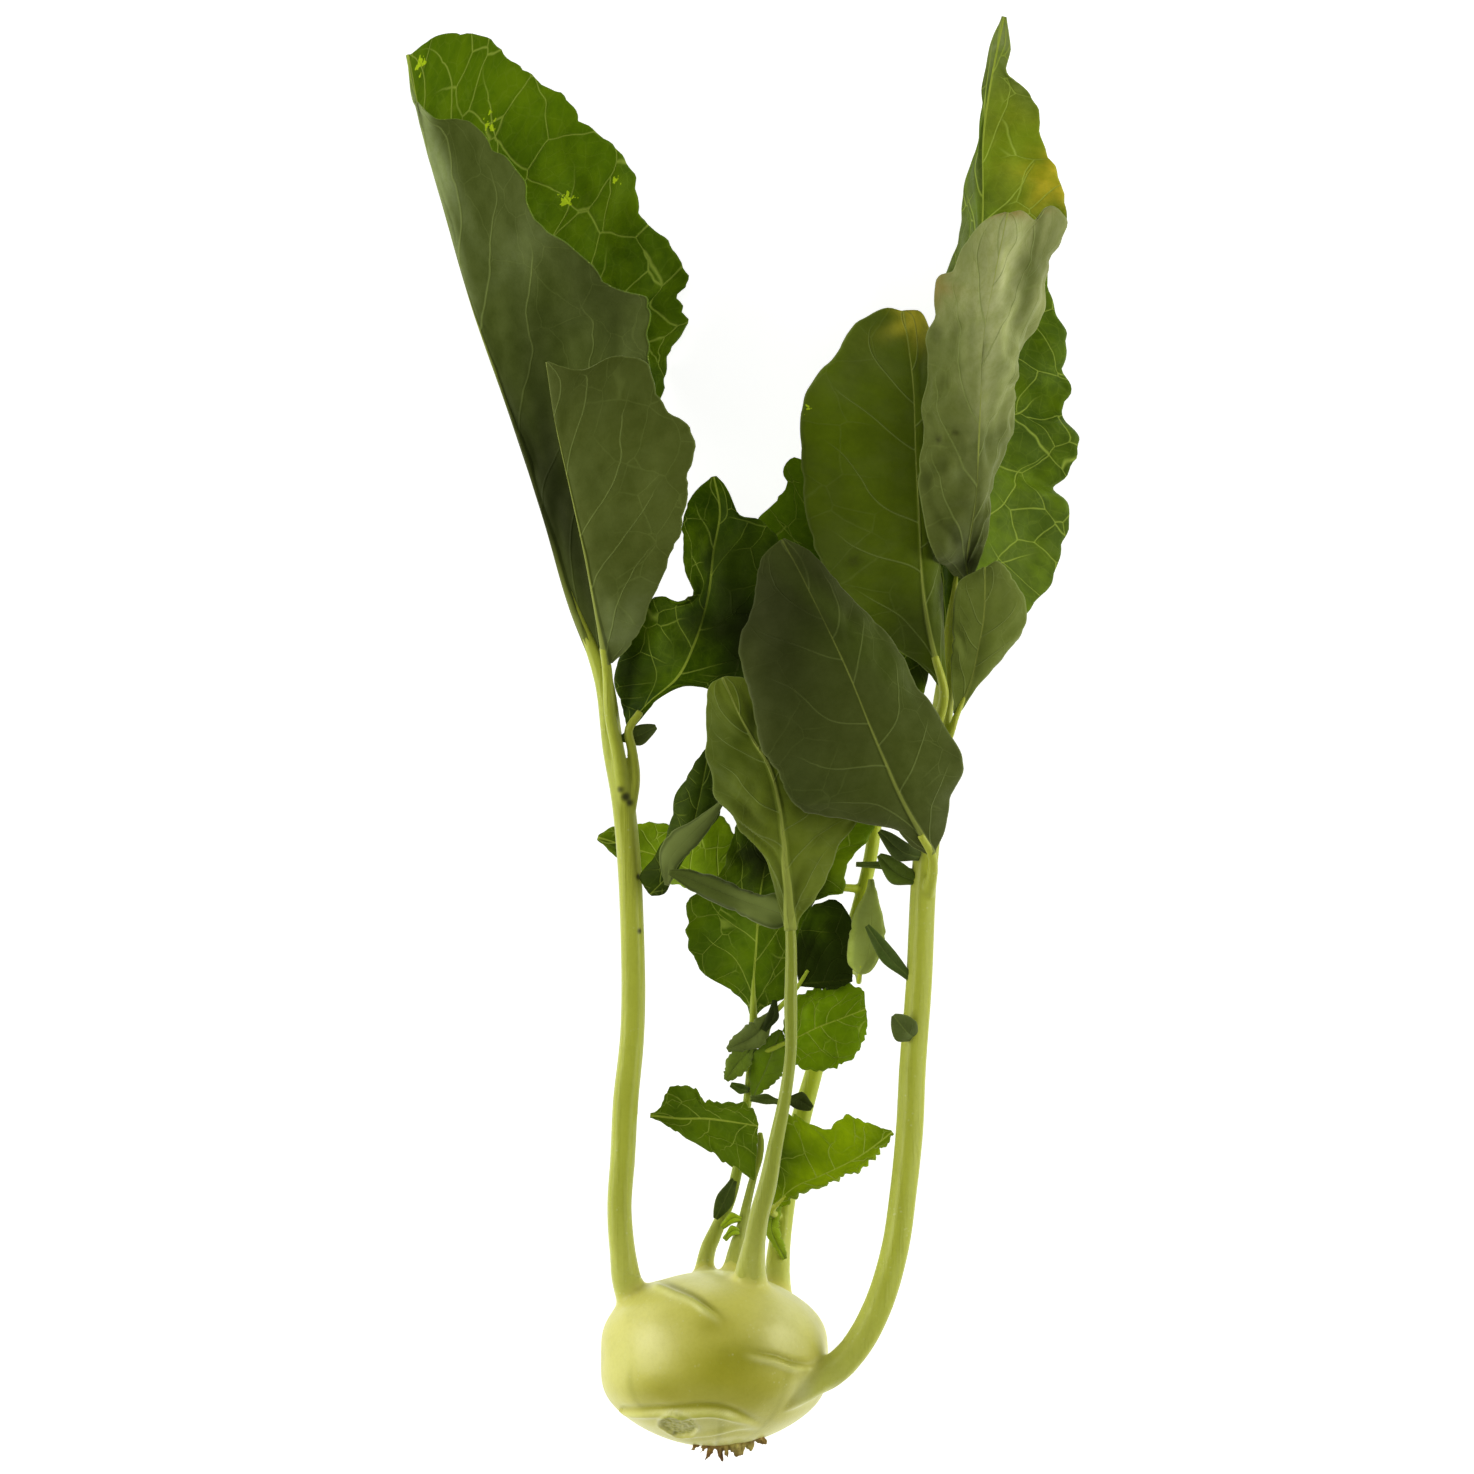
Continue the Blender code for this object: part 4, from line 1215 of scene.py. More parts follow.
@dataclass(frozen=True)
class Stalk:
    """A leaf stalk with its small branches, its leaflets and its nicks.

    Branches and webs are paths with their radii, and a nick is a place with
    its size.
    """

    name: str
    path: Line
    radii: Radii
    branches: tuple[tuple[Line, Radii], ...] = ()
    leaflets: tuple[Leaflet, ...] = ()
    blade: Optional[Sheet] = None
    web: tuple[tuple[Line, Radii], ...] = ()
    tone: Colour = srgb(178, 186, 62)
    foot: Colour = srgb(200, 202, 100)
    head: Colour = srgb(172, 184, 54)
    nick: Colour = NICK_BROWN
    nicks: tuple[tuple[float, float, float, float], ...] = ()
    ribs: float = 0.03
    stub_length: float = 34.0
    grain: float = 0.5

    def main_limb(self) -> Limb:
        """The stalk itself, run on under the rib of its leaf.

        Returns:
            The limb.
        """
        if self.blade is None:
            return Limb(self.path, self.radii, self.ribs)
        beyond = curve_at(self.blade.rib, np.array((0.03, 0.07, 0.12, 0.18)))
        thin = tuple(self.radii[-1] * k for k in (0.88, 0.7, 0.48, 0.2))
        return Limb(self.path + tuple(map(tuple, beyond)), self.radii + thin,
                    self.ribs)

    def stub(self) -> Limb:
        """The first stretch of the stalk, a little fuller at the bulb.

        Returns:
            The limb.
        """
        t = np.linspace(0, 1, 200)
        line = curve_at(self.path, t)
        run = run_along(line)
        radius = np.interp(t, path_knots(self.path), self.radii)
        places = np.linspace(0, self.stub_length, 8)
        path = [tuple(np.array([np.interp(s, run, line[:, k])
                                for k in range(3)])) for s in places]
        fuller = 0.12 + 0.5 * np.exp(-places / 9.0) - 0.6 * (
            places / self.stub_length) ** 3
        radii = np.interp(places, run, radius) + fuller
        return Limb(tuple(path), tuple(radii), self.ribs)

    def build(self, finish: Material) -> Object:
        """Build the stalk.

        Args:
            finish: Its material.

        Returns:
            The piece.
        """
        parts = [self.main_limb().make(self.name)]
        for index, (path, radii) in enumerate(self.branches):
            fine = Limb(path, radii, rows=0.8, sides=20)
            parts.append(fine.make(f"{self.name}_{index}"))
        piece = join(parts, self.name)
        melt(piece, self.grain, 3)
        self.paint(piece.data)
        dress(piece, finish)
        return piece

    def tone_at(self, place: np.ndarray) -> np.ndarray:
        """Colour of the stalk: paler at the foot, greener at the blade.

        Args:
            place: Places on the stalk.

        Returns:
            A colour for each place.
        """
        tone = even_tone(self.tone, place.shape)
        low = np.linalg.norm(place - self.path[0], axis=1)
        high = np.linalg.norm(place - self.path[-1], axis=1)
        tone = blend_tones(tone, self.foot, 0.8 * hump(low, 0, 32))
        return blend_tones(tone, self.head, 0.5 * hump(high, 0, 45))

    def paint(self, mesh: Mesh) -> None:
        """Colour the stalk, with its brown nicks.

        Args:
            mesh: The stalk's mesh, in place.
        """
        place = places_of(mesh)
        tone = self.tone_at(place)
        for *centre, size in self.nicks:
            gap = np.linalg.norm(place - centre, axis=1)
            dark = np.exp(-(gap / (1.1 * size)) ** 4)
            tone = blend_tones(tone, self.nick, 0.95 * dark)
        store_tone(mesh, tone, np.ones(len(place)))


# ---- bulb ----

BULB_SKIN = srgb(208, 204, 92)
# Deep olive: the skin's own streaks, and painted shade in the grooves of the lips.
BULB_SHADE_AND_STREAK = srgb(146, 144, 12)
# Painted highlight on the crests of the lips.
BULB_HIGHLIGHT = srgb(228, 228, 150)
SCAR_DRY = srgb(140, 140, 54)
SCAR_RIM = srgb(214, 212, 150)
Dome = tuple[Point, float, float]
Patch = tuple[Pair, Pair, Colour, float]


def domes_at(place: np.ndarray, domes: Iterable[Dome]) -> np.ndarray:
    """Height of a few round swellings.

    Args:
        place: Places in millimetres.
        domes: Centre, spread and rise of each swelling.

    Returns:
        Their sum at each place.
    """
    height = np.zeros(len(place))
    for centre, spread, rise in domes:
        gap = np.linalg.norm(place - np.array(centre), axis=1)
        height += rise * hump(gap, 0, spread)
    return height


def gap_to(path: Line, end: float, count: int, place: np.ndarray) -> np.ndarray:
    """Distance of places from the first stretch of a path.

    Args:
        path: The path.
        end: Share of the path that counts.
        count: Points tried along it.
        place: Places in millimetres.

    Returns:
        The distances.
    """
    gap = np.full(len(place), FAR)
    for point in curve_at(path, np.linspace(0, end, count)):
        gap = np.minimum(gap, np.linalg.norm(place - point, axis=1))
    return gap


def turned(y: np.ndarray, z: np.ndarray, degrees: float) -> tuple[np.ndarray, np.ndarray]:
    """Two coordinates turned about X."""
    c, s = math.cos(math.radians(degrees)), math.sin(math.radians(degrees))
    return c * y - s * z, s * y + c * z


@dataclass(frozen=True)
class Lip:
    """A raised edge on the bulb: the skin stands proud on its right side."""

    line: tuple[Pair, ...]
    height: float
    decay: float
    groove: float = 0.5
    edge: float = 0.8
    start: float = 0.0

    def measure(self, x: np.ndarray, y: np.ndarray) -> tuple[np.ndarray, np.ndarray]:
        """Where places seen from above lie about the lip.

        Args:
            x: Places across.
            y: Places along.

        Returns:
            Distance to the line, positive on its raised side, and how much of
            the lip there is at each place, from 0 to 1.
        """
        points = curve_at([(*p, 0.0) for p in self.line],
                          np.linspace(0, 1, 60))[:, :2]
        best = np.full(x.shape, FAR)
        signed = np.zeros(x.shape)
        place = np.zeros(x.shape)
        for index, (a, b) in enumerate(zip(points, points[1:])):
            d = b - a
            t = ((x - a[0]) * d[0] + (y - a[1]) * d[1]) / np.dot(d, d)
            t = np.clip(t, 0, 1)
            gx, gy = x - a[0] - t * d[0], y - a[1] - t * d[1]
            gap = np.hypot(gx, gy)
            closer = gap < best
            side = np.sign(d[1] * gx - d[0] * gy)
            signed = np.where(closer, side * gap, signed)
            place = np.where(closer, (index + t) / (len(points) - 1), place)
            best = np.minimum(best, gap)
        fade = smooth_step(0.0, 1.0, np.clip(2.4 * place, self.start, 1))
        fade *= smooth_step(0.0, 1.0, np.clip(2.8 * (1 - place), 0, 1))
        return signed, fade * hump(np.maximum(best - 3 * self.decay, 0), 0, 2)

    def lift(self, x: np.ndarray, y: np.ndarray) -> np.ndarray:
        """How far the skin stands out at places seen from above.

        Args:
            x: Places across.
            y: Places along.

        Returns:
            The height at each place.
        """
        signed, amount = self.measure(x, y)
        rise = 1 / (1 + np.exp(-np.clip(signed / self.edge * 3, -40, 40)))
        shape = rise * (0.6 * np.exp(-np.maximum(signed, 0) / self.decay)
                        + 0.6 * hump(signed, 1.2, 1.1))
        dip = self.groove * hump(signed, -0.9, 1.2)
        return (self.height * shape - dip) * amount

    def shade(self, tone: np.ndarray, x: np.ndarray, y: np.ndarray) -> np.ndarray:
        """Painted highlight on the crest and painted shade in the groove of the lip, laid over a
        colour.

        Args:
            tone: The skin's colours.
            x: Places across.
            y: Places along.

        Returns:
            The new colours.
        """
        signed, amount = self.measure(x, y)
        tone = blend_tones(tone, BULB_HIGHLIGHT, 0.6 * hump(signed, 1.3, 1.0) * amount)
        return blend_tones(tone, BULB_SHADE_AND_STREAK, 0.75 * hump(signed, -0.7, 0.9) * amount)


@dataclass
class Bulb:
    """The swollen stem with the feet of its stalks."""

    radius: float = 37.9
    half_height: float = 29.3
    centre_height: float = 36.9
    tilt: float = -11.0
    grain: float = 0.62
    front: float = 40.0
    lip_fade: Pair = (40.0, 53.0)
    swellings: tuple[Dome, ...] = (
        ((-25, 19, 6), 7.0, 2.4), ((33, 0, 18), 7.5, 2.4),
        ((12, 25, 18), 6.5, 2.2), ((20, 24, -14), 6.5, 1.8),
        ((-3, 28, -8), 5.5, 1.5), ((6, 28, -3), 5.5, 1.5))
    lips: tuple[Lip, ...] = (
        Lip(((-23.9, 27.6), (-14.4, 24.8), (-5.8, 22.1), (-1.5, 19.4),
             (1.8, 17.1), (4.5, 13)), 1.7, 4.0, 0.65, start=1.0),
        Lip(((8, 6.4), (15, 4.7), (19.8, 3.3), (24.9, 1.1), (30.8, 0.2),
             (34.3, 0.7)), 1.6, 4.0, 0.65),
        Lip(((-29, -15.5), (-21, -14.2), (-13, -13.4), (2, -12.8), (9, -15.5),
             (17, -20.5)), 2.1, 6.0, 0.9, start=0.6),
        Lip(((-19, -19.5), (-11, -24), (-4, -23), (8, -20.5), (17, -21.5)),
            -1.0, 3.0, -0.6),
    )
    # Centre, spread, colour and strength of each patch seen from above: the dark olive ones in the
    # middle and the valley are partly the skin's own colour and partly painted shade; the pale ones on
    # the lobes, the top and the flanks are painted highlights.
    olive_shade_and_highlight_patches: tuple[Patch, ...] = (
        ((4, -2), (20, 11), srgb(168, 164, 32), 0.8),
        ((9, 4), (11, 6), srgb(150, 148, 18), 0.8),
        ((0, 15), (7, 4), srgb(160, 156, 30), 0.6),
        ((14, -11), (14, 9), srgb(172, 168, 52), 0.6),
        ((-17, -8), (10, 5), srgb(170, 164, 40), 0.6),
        ((-21, 10), (9, 9), srgb(228, 224, 142), 0.8),
        ((24, 14), (9, 10), srgb(226, 224, 150), 0.8),
        ((-6, 27), (15, 4), srgb(228, 226, 150), 0.7),
        ((30, -8), (6, 6), srgb(210, 210, 140), 0.9),
        ((-4, -19), (16, 4), srgb(208, 206, 116), 0.8),
        ((-30, 0), (5, 9), srgb(216, 214, 122), 0.6))
    bulges: tuple[Dome, ...] = (
        ((-17, 3, 62), 14.0, 1.2), ((21, 12, 60), 13.0, 1.3),
        ((9, 4, 72), 7.0, -1.3), ((2, 11, 72), 5.0, -0.6),
        ((-2, -20, 62), 11.0, 0.6))

    def build(self, stalks: Sequence[Stalk], finish: Material) -> Object:
        """Build the bulb.

        Args:
            stalks: Stalks whose feet grow from it.
            finish: Its material.

        Returns:
            The piece.
        """
        parts = [self.ball()]
        for stalk in stalks:
            parts.append(stalk.stub().make("foot"))
            for path, radii in stalk.web:
                parts.append(Limb(path, radii).make("web"))
        piece = join(parts, "bulb_skin")
        melt(piece, self.grain, 2)
        soften_near(piece, self.foot_weights(piece.data, stalks), 60)
        self.carve(piece.data)
        self.flatten()
        self.paint(piece.data, stalks)
        dress(piece, finish)
        return piece

    def ball(self) -> Object:
        """The plain bulb with its swellings, tilted as it lies.

        Returns:
            The ball.
        """
        bpy.ops.object.select_all(action="DESELECT")
        bpy.ops.mesh.primitive_uv_sphere_add(segments=144, ring_count=96,
                                             radius=1.0)
        item = bpy.context.object
        corner = read_vectors(item.data, "co")
        ball = np.stack((corner[:, 0], corner[:, 2], -corner[:, 1]), axis=1)
        fuller = 1 + 0.05 * np.sin(math.pi * np.abs(ball[:, 1])) ** 2
        point = ball * np.stack((self.radius * fuller,
                                 np.full(len(ball), self.half_height),
                                 self.radius * fuller), axis=1)
        point += ball * (self.swell(point) - 0.6)[:, None]
        put_corners(item.data, self.tilted(point))
        return item

    def swell(self, point: np.ndarray) -> np.ndarray:
        """How far the skin stands out at the stalks and between its ribs."""
        turn = np.arctan2(point[:, 2], point[:, 0])
        return domes_at(point, self.swellings) + 0.35 * np.sin(5 * turn + 0.6) * (
            1 - np.abs(point[:, 1]) / 32)

    def tilted(self, point: np.ndarray) -> np.ndarray:
        """Points of the upright bulb, turned and raised as it lies."""
        y, z = turned(point[:, 1], point[:, 2], self.tilt)
        return np.stack((point[:, 0], y, z + self.centre_height), axis=1)

    def outside(self, place: np.ndarray) -> np.ndarray:
        """Rough distance of places from the plain bulb, in millimetres."""
        y, z = turned(place[:, 1], place[:, 2] - self.centre_height, -self.tilt)
        size = np.sqrt((place[:, 0] / self.radius) ** 2
                       + (y / self.half_height) ** 2 + (z / self.radius) ** 2)
        return (size - 1) * 34.0

    def foot_weights(self, mesh: Mesh, stalks: Sequence[Stalk]) -> np.ndarray:
        """Where the skin is softened: round each foot.

        Args:
            mesh: The bulb's mesh.
            stalks: Stalks whose feet grow from it.

        Returns:
            A weight from 0 to 1 for each vertex.
        """
        place = places_of(mesh)
        weight = np.zeros(len(place))
        for stalk in stalks:
            gap = gap_to(stalk.path, 0.35, 40, place)
            reach = stalk.radii[2] + 5.0
            weight = np.maximum(weight, smooth_step(reach + 4, reach - 1, gap))
        return weight * smooth_step(12.0, 5.0, self.outside(place))

    def carve(self, mesh: Mesh) -> None:
        """Raise the lips, sink the leaf scar and rough the skin a little.

        Args:
            mesh: The bulb's mesh, in place.
        """
        place = places_of(mesh)
        lift = domes_at(place, self.bulges) + self.scar(place) + self.uneven(place)
        for lip in self.lips:
            lift += lip.lift(place[:, 0], place[:, 1])
        lift *= smooth_step(*self.lip_fade, place[:, 2])
        put_corners(mesh, place + read_vectors(mesh, "normal") * lift[:, None])

    @staticmethod
    def scar_gap(place: np.ndarray) -> np.ndarray:
        """Distance over the leaf scar's own rhomboid.

        Args:
            place: Places in millimetres.

        Returns:
            0 at its middle and 1 at its edge.
        """
        x, y = place[:, 0] + 11.4, place[:, 1] + 18.6
        slant = y + 0.12 * x
        turn = np.arctan2(y, x)
        ragged = 1 + 0.05 * np.sin(5 * turn + 1) + 0.03 * np.sin(11 * turn)
        return ragged * ((np.abs(x) / 6.3) ** 1.7 + (np.abs(slant) / 4.4) ** 1.7)

    def scar(self, place: np.ndarray) -> np.ndarray:
        """The sunk scar with its raised rim.

        Args:
            place: Places in millimetres.

        Returns:
            How far the skin is raised at each place.
        """
        gap = self.scar_gap(place)
        rim = 0.45 * hump(gap, 1.05, 0.16)
        sunk = 0.7 * smooth_step(1.0, 0.75, gap)
        pits = 0.5 * noise_at(place, 1.1)
        return rim - sunk + pits * smooth_step(0.95, 0.7, gap)

    @staticmethod
    def uneven(place: np.ndarray) -> np.ndarray:
        """Slow waves in the skin."""
        return 0.14 * np.sin(0.31 * place[:, 0] + 1.1) * np.sin(
            0.27 * place[:, 1] + 0.23 * place[:, 2])

    @staticmethod
    def flatten() -> None:
        """Cut the small flat spot that the active object lies on."""
        bpy.ops.object.mode_set(mode="EDIT")
        bpy.ops.mesh.select_all(action="SELECT")
        bpy.ops.mesh.bisect(plane_co=(0, 0, 0), plane_no=(0, 0, 1),
                            clear_inner=True, use_fill=True)
        bpy.ops.object.mode_set(mode="OBJECT")

    def paint(self, mesh: Mesh, stalks: Sequence[Stalk]) -> None:
        """Colour the skin, with painted shade in its hollows, painted highlights on its lobes and
        lips, and paler at the feet.

        Args:
            mesh: The bulb's mesh.
            stalks: Stalks whose feet grow from it.
        """
        place = places_of(mesh)
        x, y, z = place.T
        tone = even_tone(BULB_SKIN, place.shape)
        # Dark olive patches, partly own colour and partly painted shade, and pale painted highlights.
        for (cx, cy), (wide, high), colour, amount in self.olive_shade_and_highlight_patches:
            near = hump(x, cx, wide) * hump(y, cy, high)
            tone = blend_tones(tone, colour, amount * near * (z > 30))
        turn = np.arctan2(z - self.centre_height, x)
        streak = np.clip(np.sin(9 * turn + 0.7 * np.sin(0.2 * y)), 0, 1) ** 2
        streak *= np.clip(np.sin(21 * turn + 2), 0.3, 1) * smooth_step(8, -2, y)
        tone = blend_tones(tone, BULB_SHADE_AND_STREAK, 0.34 * streak)
        # Painted highlights on the crests and painted shade in the grooves of the lips.
        for lip in self.lips:
            if lip.height > 0:
                tone = blend_tones(tone, lip.shade(tone, x, y),
                                   smooth_step(*self.lip_fade, z))
        tone = self.paint_scar(tone, place)
        out = self.outside(place)
        tone = self.paint_feet(tone, place, out, stalks)
        store_tone(mesh, tone, smooth_step(2.0, 9.0, out))

    def paint_scar(self, tone: np.ndarray, place: np.ndarray) -> np.ndarray:
        """Colour the dry brown-green scar and its pale rim.

        Args:
            tone: The skin's colours.
            place: Places in millimetres.

        Returns:
            The new colours.
        """
        gap = self.scar_gap(place)
        front = place[:, 2] > self.front
        grit = np.clip(0.7 + 0.7 * noise_at(place, 1.3), 0.0, 1.3)
        dry = smooth_step(1.0, 0.75, gap) * front * grit
        tone = blend_tones(tone, SCAR_DRY, 0.75 * dry)
        return blend_tones(tone, SCAR_RIM, 0.75 * hump(gap, 1.1, 0.16) * front)

    @staticmethod
    def paint_feet(tone: np.ndarray, place: np.ndarray, out: np.ndarray,
                   stalks: Sequence[Stalk]) -> np.ndarray:
        """Take the skin's colour over to that of each stalk.

        Args:
            tone: The skin's colours.
            place: Places in millimetres.
            out: How far each place stands out of the plain bulb.
            stalks: Stalks whose feet grow from the bulb.

        Returns:
            The new colours.
        """
        best = np.full(len(place), FAR)
        foot = np.zeros(place.shape)
        for stalk in stalks:
            gap = gap_to(stalk.path, 0.3, 30, place)
            foot = np.where((gap < best)[:, None], stalk.tone_at(place), foot)
            best = np.minimum(best, gap)
        return blend_tones(tone, foot, smooth_step(0.5, 6.0, out))


# ---- root ----

ROOT_WOOD = srgb(160, 128, 62)
ROOT_BARK = srgb(112, 76, 30)
ROOT_PALE = srgb(204, 196, 96)


@dataclass
class Root:
    """The torn end of the root: base, tip and radius of each splinter."""

    grain: float = 0.35
    splinters: tuple[tuple[Point, Point, float], ...] = (
        ((6, -22, 42), (8.5, -31.0, 43), 5.2), ((12, -22, 43), (17, -27.2, 44), 2.8),
        ((2, -23, 42), (3, -29.5, 43), 3.6), ((11, -24, 42), (12, -29.5, 42), 2.6),
        ((-3, -25, 43), (-7.4, -29.2, 44), 1.2),
        ((-1, -26, 43), (-4.6, -30.2, 44), 1.0),
        ((0, -27, 43), (-2.8, -32.6, 44), 1.1),
        ((1.5, -27, 43), (2.7, -33.0, 43), 1.3),
        ((4, -28, 44), (4.4, -31.8, 45), 0.9),
        ((4, -26, 38), (7, -30, 36), 2.0), ((-2, -26, 38), (-4, -29.5, 36), 1.2))

    def build(self, finish: Material) -> Object:
        """Build the root.

        Args:
            finish: Its material.

        Returns:
            The piece.
        """
        parts = []
        for index, (base, tip, radius) in enumerate(self.splinters):
            middle = tuple((np.array(base) + np.array(tip)) / 2)
            limb = Limb((base, middle, tip), (radius, 0.75 * radius,
                                              0.22 * radius), sides=14,
                        ribs=0.14)
            parts.append(limb.make(f"splinter_{index}"))
        piece = join(parts, "root_end")
        melt(piece, self.grain, 1)
        self.tear(piece.data)
        dress(piece, finish)
        return piece

    @staticmethod
    def tear(mesh: Mesh) -> None:
        """Roughen the wood along its grain and colour it.

        Args:
            mesh: The root's mesh, in place.
        """
        place = places_of(mesh)
        rough = 0.7 * noise_at(place * (1.3, 0.35, 1.3), 1.0)
        place += read_vectors(mesh, "normal") * rough[:, None]
        put_corners(mesh, place)
        tip = smooth_step(-28.5, -31.0, place[:, 1])
        tone = blend_tones(even_tone(ROOT_WOOD, place.shape), ROOT_BARK, tip)
        pale = hump(place[:, 0], 9, 6) * hump(place[:, 1], -28, 2.6)
        store_tone(mesh, blend_tones(tone, ROOT_PALE, 0.8 * pale),
                   np.zeros(len(place)))


# ---- studio ----


@dataclass
class Studio:
    """Camera, lights and floor."""

    eye: Point = (0.0076, 0.2046, 2.0)
    lens: float = 145.7
    sensor: float = 36.0
    sight: float = 20.0
    floor_width: float = 12.0
    floor_height: float = -0.0003
    floor_colour: Colour = (0.6, 0.6, 0.6)
    sky: float = 0.22
    glow: float = 0.80
    target: Point = (0.0, 0.2, 0.03)
    lamps: tuple[tuple[str, Point, float, float], ...] = (
        ("left", (-1.6, 0.3, 0.7), 1.0, 20.0),
        ("right", (1.6, 0.3, 0.7), 1.0, 17.0),
        ("head", (0.0, 1.9, 1.2), 1.4, 5.0),
        ("foot", (0.0, -1.5, 1.2), 1.4, 4.0))

    def build(self) -> None:
        """Set the whole studio up."""
        self.lay_floor()
        self.place_camera()
        self.light_world()
        for name, place, size, power in self.lamps:
            self.hang_light(name, place, size, power)

    def lay_floor(self) -> None:
        """A plain pale floor."""
        bpy.ops.object.select_all(action="DESELECT")
        bpy.ops.mesh.primitive_plane_add(
            size=self.floor_width, location=(0, 0, self.floor_height))
        floor = bpy.context.object
        floor.name = "floor"
        bpy.ops.object.transform_apply(location=True)
        floor.data.materials.append(
            FloorFinish("floor_white", self.floor_colour, self.glow).build())

    def place_camera(self) -> None:
        """A camera straight above, its top towards +Y."""
        bpy.ops.object.camera_add(location=self.eye, rotation=(0, 0, 0))
        camera = bpy.context.object
        camera.data.sensor_width = self.sensor
        camera.data.lens = self.lens
        camera.data.clip_end = self.sight
        bpy.context.scene.camera = camera

    def light_world(self) -> None:
        """An even bright surround."""
        world = bpy.data.worlds.new("surround")
        world.use_nodes = True
        back = world.node_tree.nodes["Background"]
        back.inputs["Color"].default_value = (1.0, 1.0, 1.0, 1.0)
        back.inputs["Strength"].default_value = self.sky
        bpy.context.scene.world = world

    def hang_light(self, name: str, place: Point, size: float, power: float) -> None:
        """A large soft light turned to the middle of the plant.

        Args:
            name: Name of the light.
            place: Where it hangs, in metres.
            size: Width of its square face.
            power: Its power in watts.
        """
        bpy.ops.object.light_add(type="AREA", location=place)
        light = bpy.context.object
        light.name = name
        light.data.shape = "SQUARE"
        light.data.size = size
        light.data.energy = power
        aim = Vector(self.target) - Vector(place)
        light.rotation_euler = aim.to_track_quat("-Z", "Y").to_euler()


# ---- the plant's colours, painted shade and highlight colours among them, and its curves ----

YELLOW = srgb(206, 200, 30)
PALE_BLOOM = srgb(126, 138, 84)
# Painted shadow: near-black green where a leaf lies under another one.
SHADOW_GREEN = srgb(20, 28, 6)
# Painted shade in folds and where leaves overlap.
FOLD_SHADE = srgb(40, 50, 14)
BRIGHT_GREEN = srgb(104, 132, 14)
DRY_EDGE = srgb(150, 128, 70)

# ---- the large left leaf ----
LEFT_MAIN = Sheet(
    rib=((-37, 227, 36), (-45, 246, 33), (-55, 278, 30), (-67, 313, 28), (-79, 346, 26),
         (-89, 379, 22), (-97, 407, 17), (-102, 432, 12)),
    left=((-34, 237, 40), (-30, 265, 46), (-25, 295, 50), (-23, 320, 51), (-21, 335, 50),
          (-23, 347, 48), (-33, 351, 46), (-45, 362, 43), (-60, 377, 38), (-63, 386, 36),
          (-74, 400, 29), (-84, 409, 23), (-93, 410, 19), (-99, 416, 15)),
    right=((-33, 240, 26), (-25, 264, 15), (-19, 290, 7), (-18, 317, 3), (-15, 334, 2),
           (-10, 346, 1.6), (-14, 352, 1.8), (-10, 357, 1.6), (-17, 370, 1.8), (-26, 381, 1.8),
           (-28, 395, 1.8), (-42, 407, 1.8), (-52, 419, 1.8), (-66, 429, 2), (-76, 438, 3),
           (-87, 440, 4), (-94, 438, 6)),
    teeth=(9, 15), tooth_depth=1.5, saw=0.5, cup=(2.5, -2), ruffle=1.3, waves=4, rib_radius=(3, 0.7),
    upper=srgb(88, 118, 2), under=srgb(70, 82, 26), veins=7, folds=0.6, buckle=0.8,
    spots=(Spot(-49.5, 384, 3.6, YELLOW, 1, 1, fleck=True),
           Spot(-33.2, 391.5, 2.6, YELLOW, 0.9, 1, fleck=True),
           Spot(-75, 409.3, 2.6, YELLOW, 0.9, 1, 0.5, fleck=True),
           Spot(-98, 429, 4.5, YELLOW, 1, 1, 2.2, 1.4, fleck=True),
           Spot(-30, 335, 40, srgb(66, 92, 2), 0.7, 1),
           # Painted shadow in the fold beside the front leaf.
           Spot(-52, 285, 48, SHADOW_GREEN, 0.88, -1, 3.4, 1.9),
           Spot(-36, 352, 20, srgb(62, 70, 32), 0.6, -1),
           # Painted highlight along the rolled left edge.
           Spot(-95, 402, 32, srgb(158, 172, 114), 1, -1, 8, 1.864),
           Spot(-64, 365, 14, PALE_BLOOM, 0.4, -1, 2, 0.9)))
LEFT_FRONT = Sheet(
    rib=((-35, 229, 47), (-37, 242, 56), (-41, 263, 62), (-46, 285, 65), (-51, 307, 67),
         (-54, 326, 69)),
    left=((-34, 236, 49), (-30, 249, 52), (-25, 269, 56), (-26, 291, 57), (-32, 311, 59),
          (-44, 321, 64)),
    right=((-27, 235, 54), (-21, 247, 64), (-16, 259, 69), (-11, 272, 72), (-9, 287, 74),
           (-8, 305, 75), (-15, 309, 75), (-19, 317, 76), (-24, 326, 76), (-32, 327, 75),
           (-43, 323, 73)),
    teeth=(3, 10), tooth_depth=0.9, cup=(-1, 2), ruffle=0.8, rib_radius=(1.9, 0.9), up=Face.UNDER,
    upper=srgb(70, 92, 14), under=srgb(74, 84, 28), veins=5, folds=0.6,
    spots=(Spot(-44, 322, 14, srgb(62, 70, 24), 0.6), Spot(-16, 285, 22, srgb(92, 102, 42), 0.6),
           Spot(-29, 240, 10, PALE_BLOOM, 0.6)))
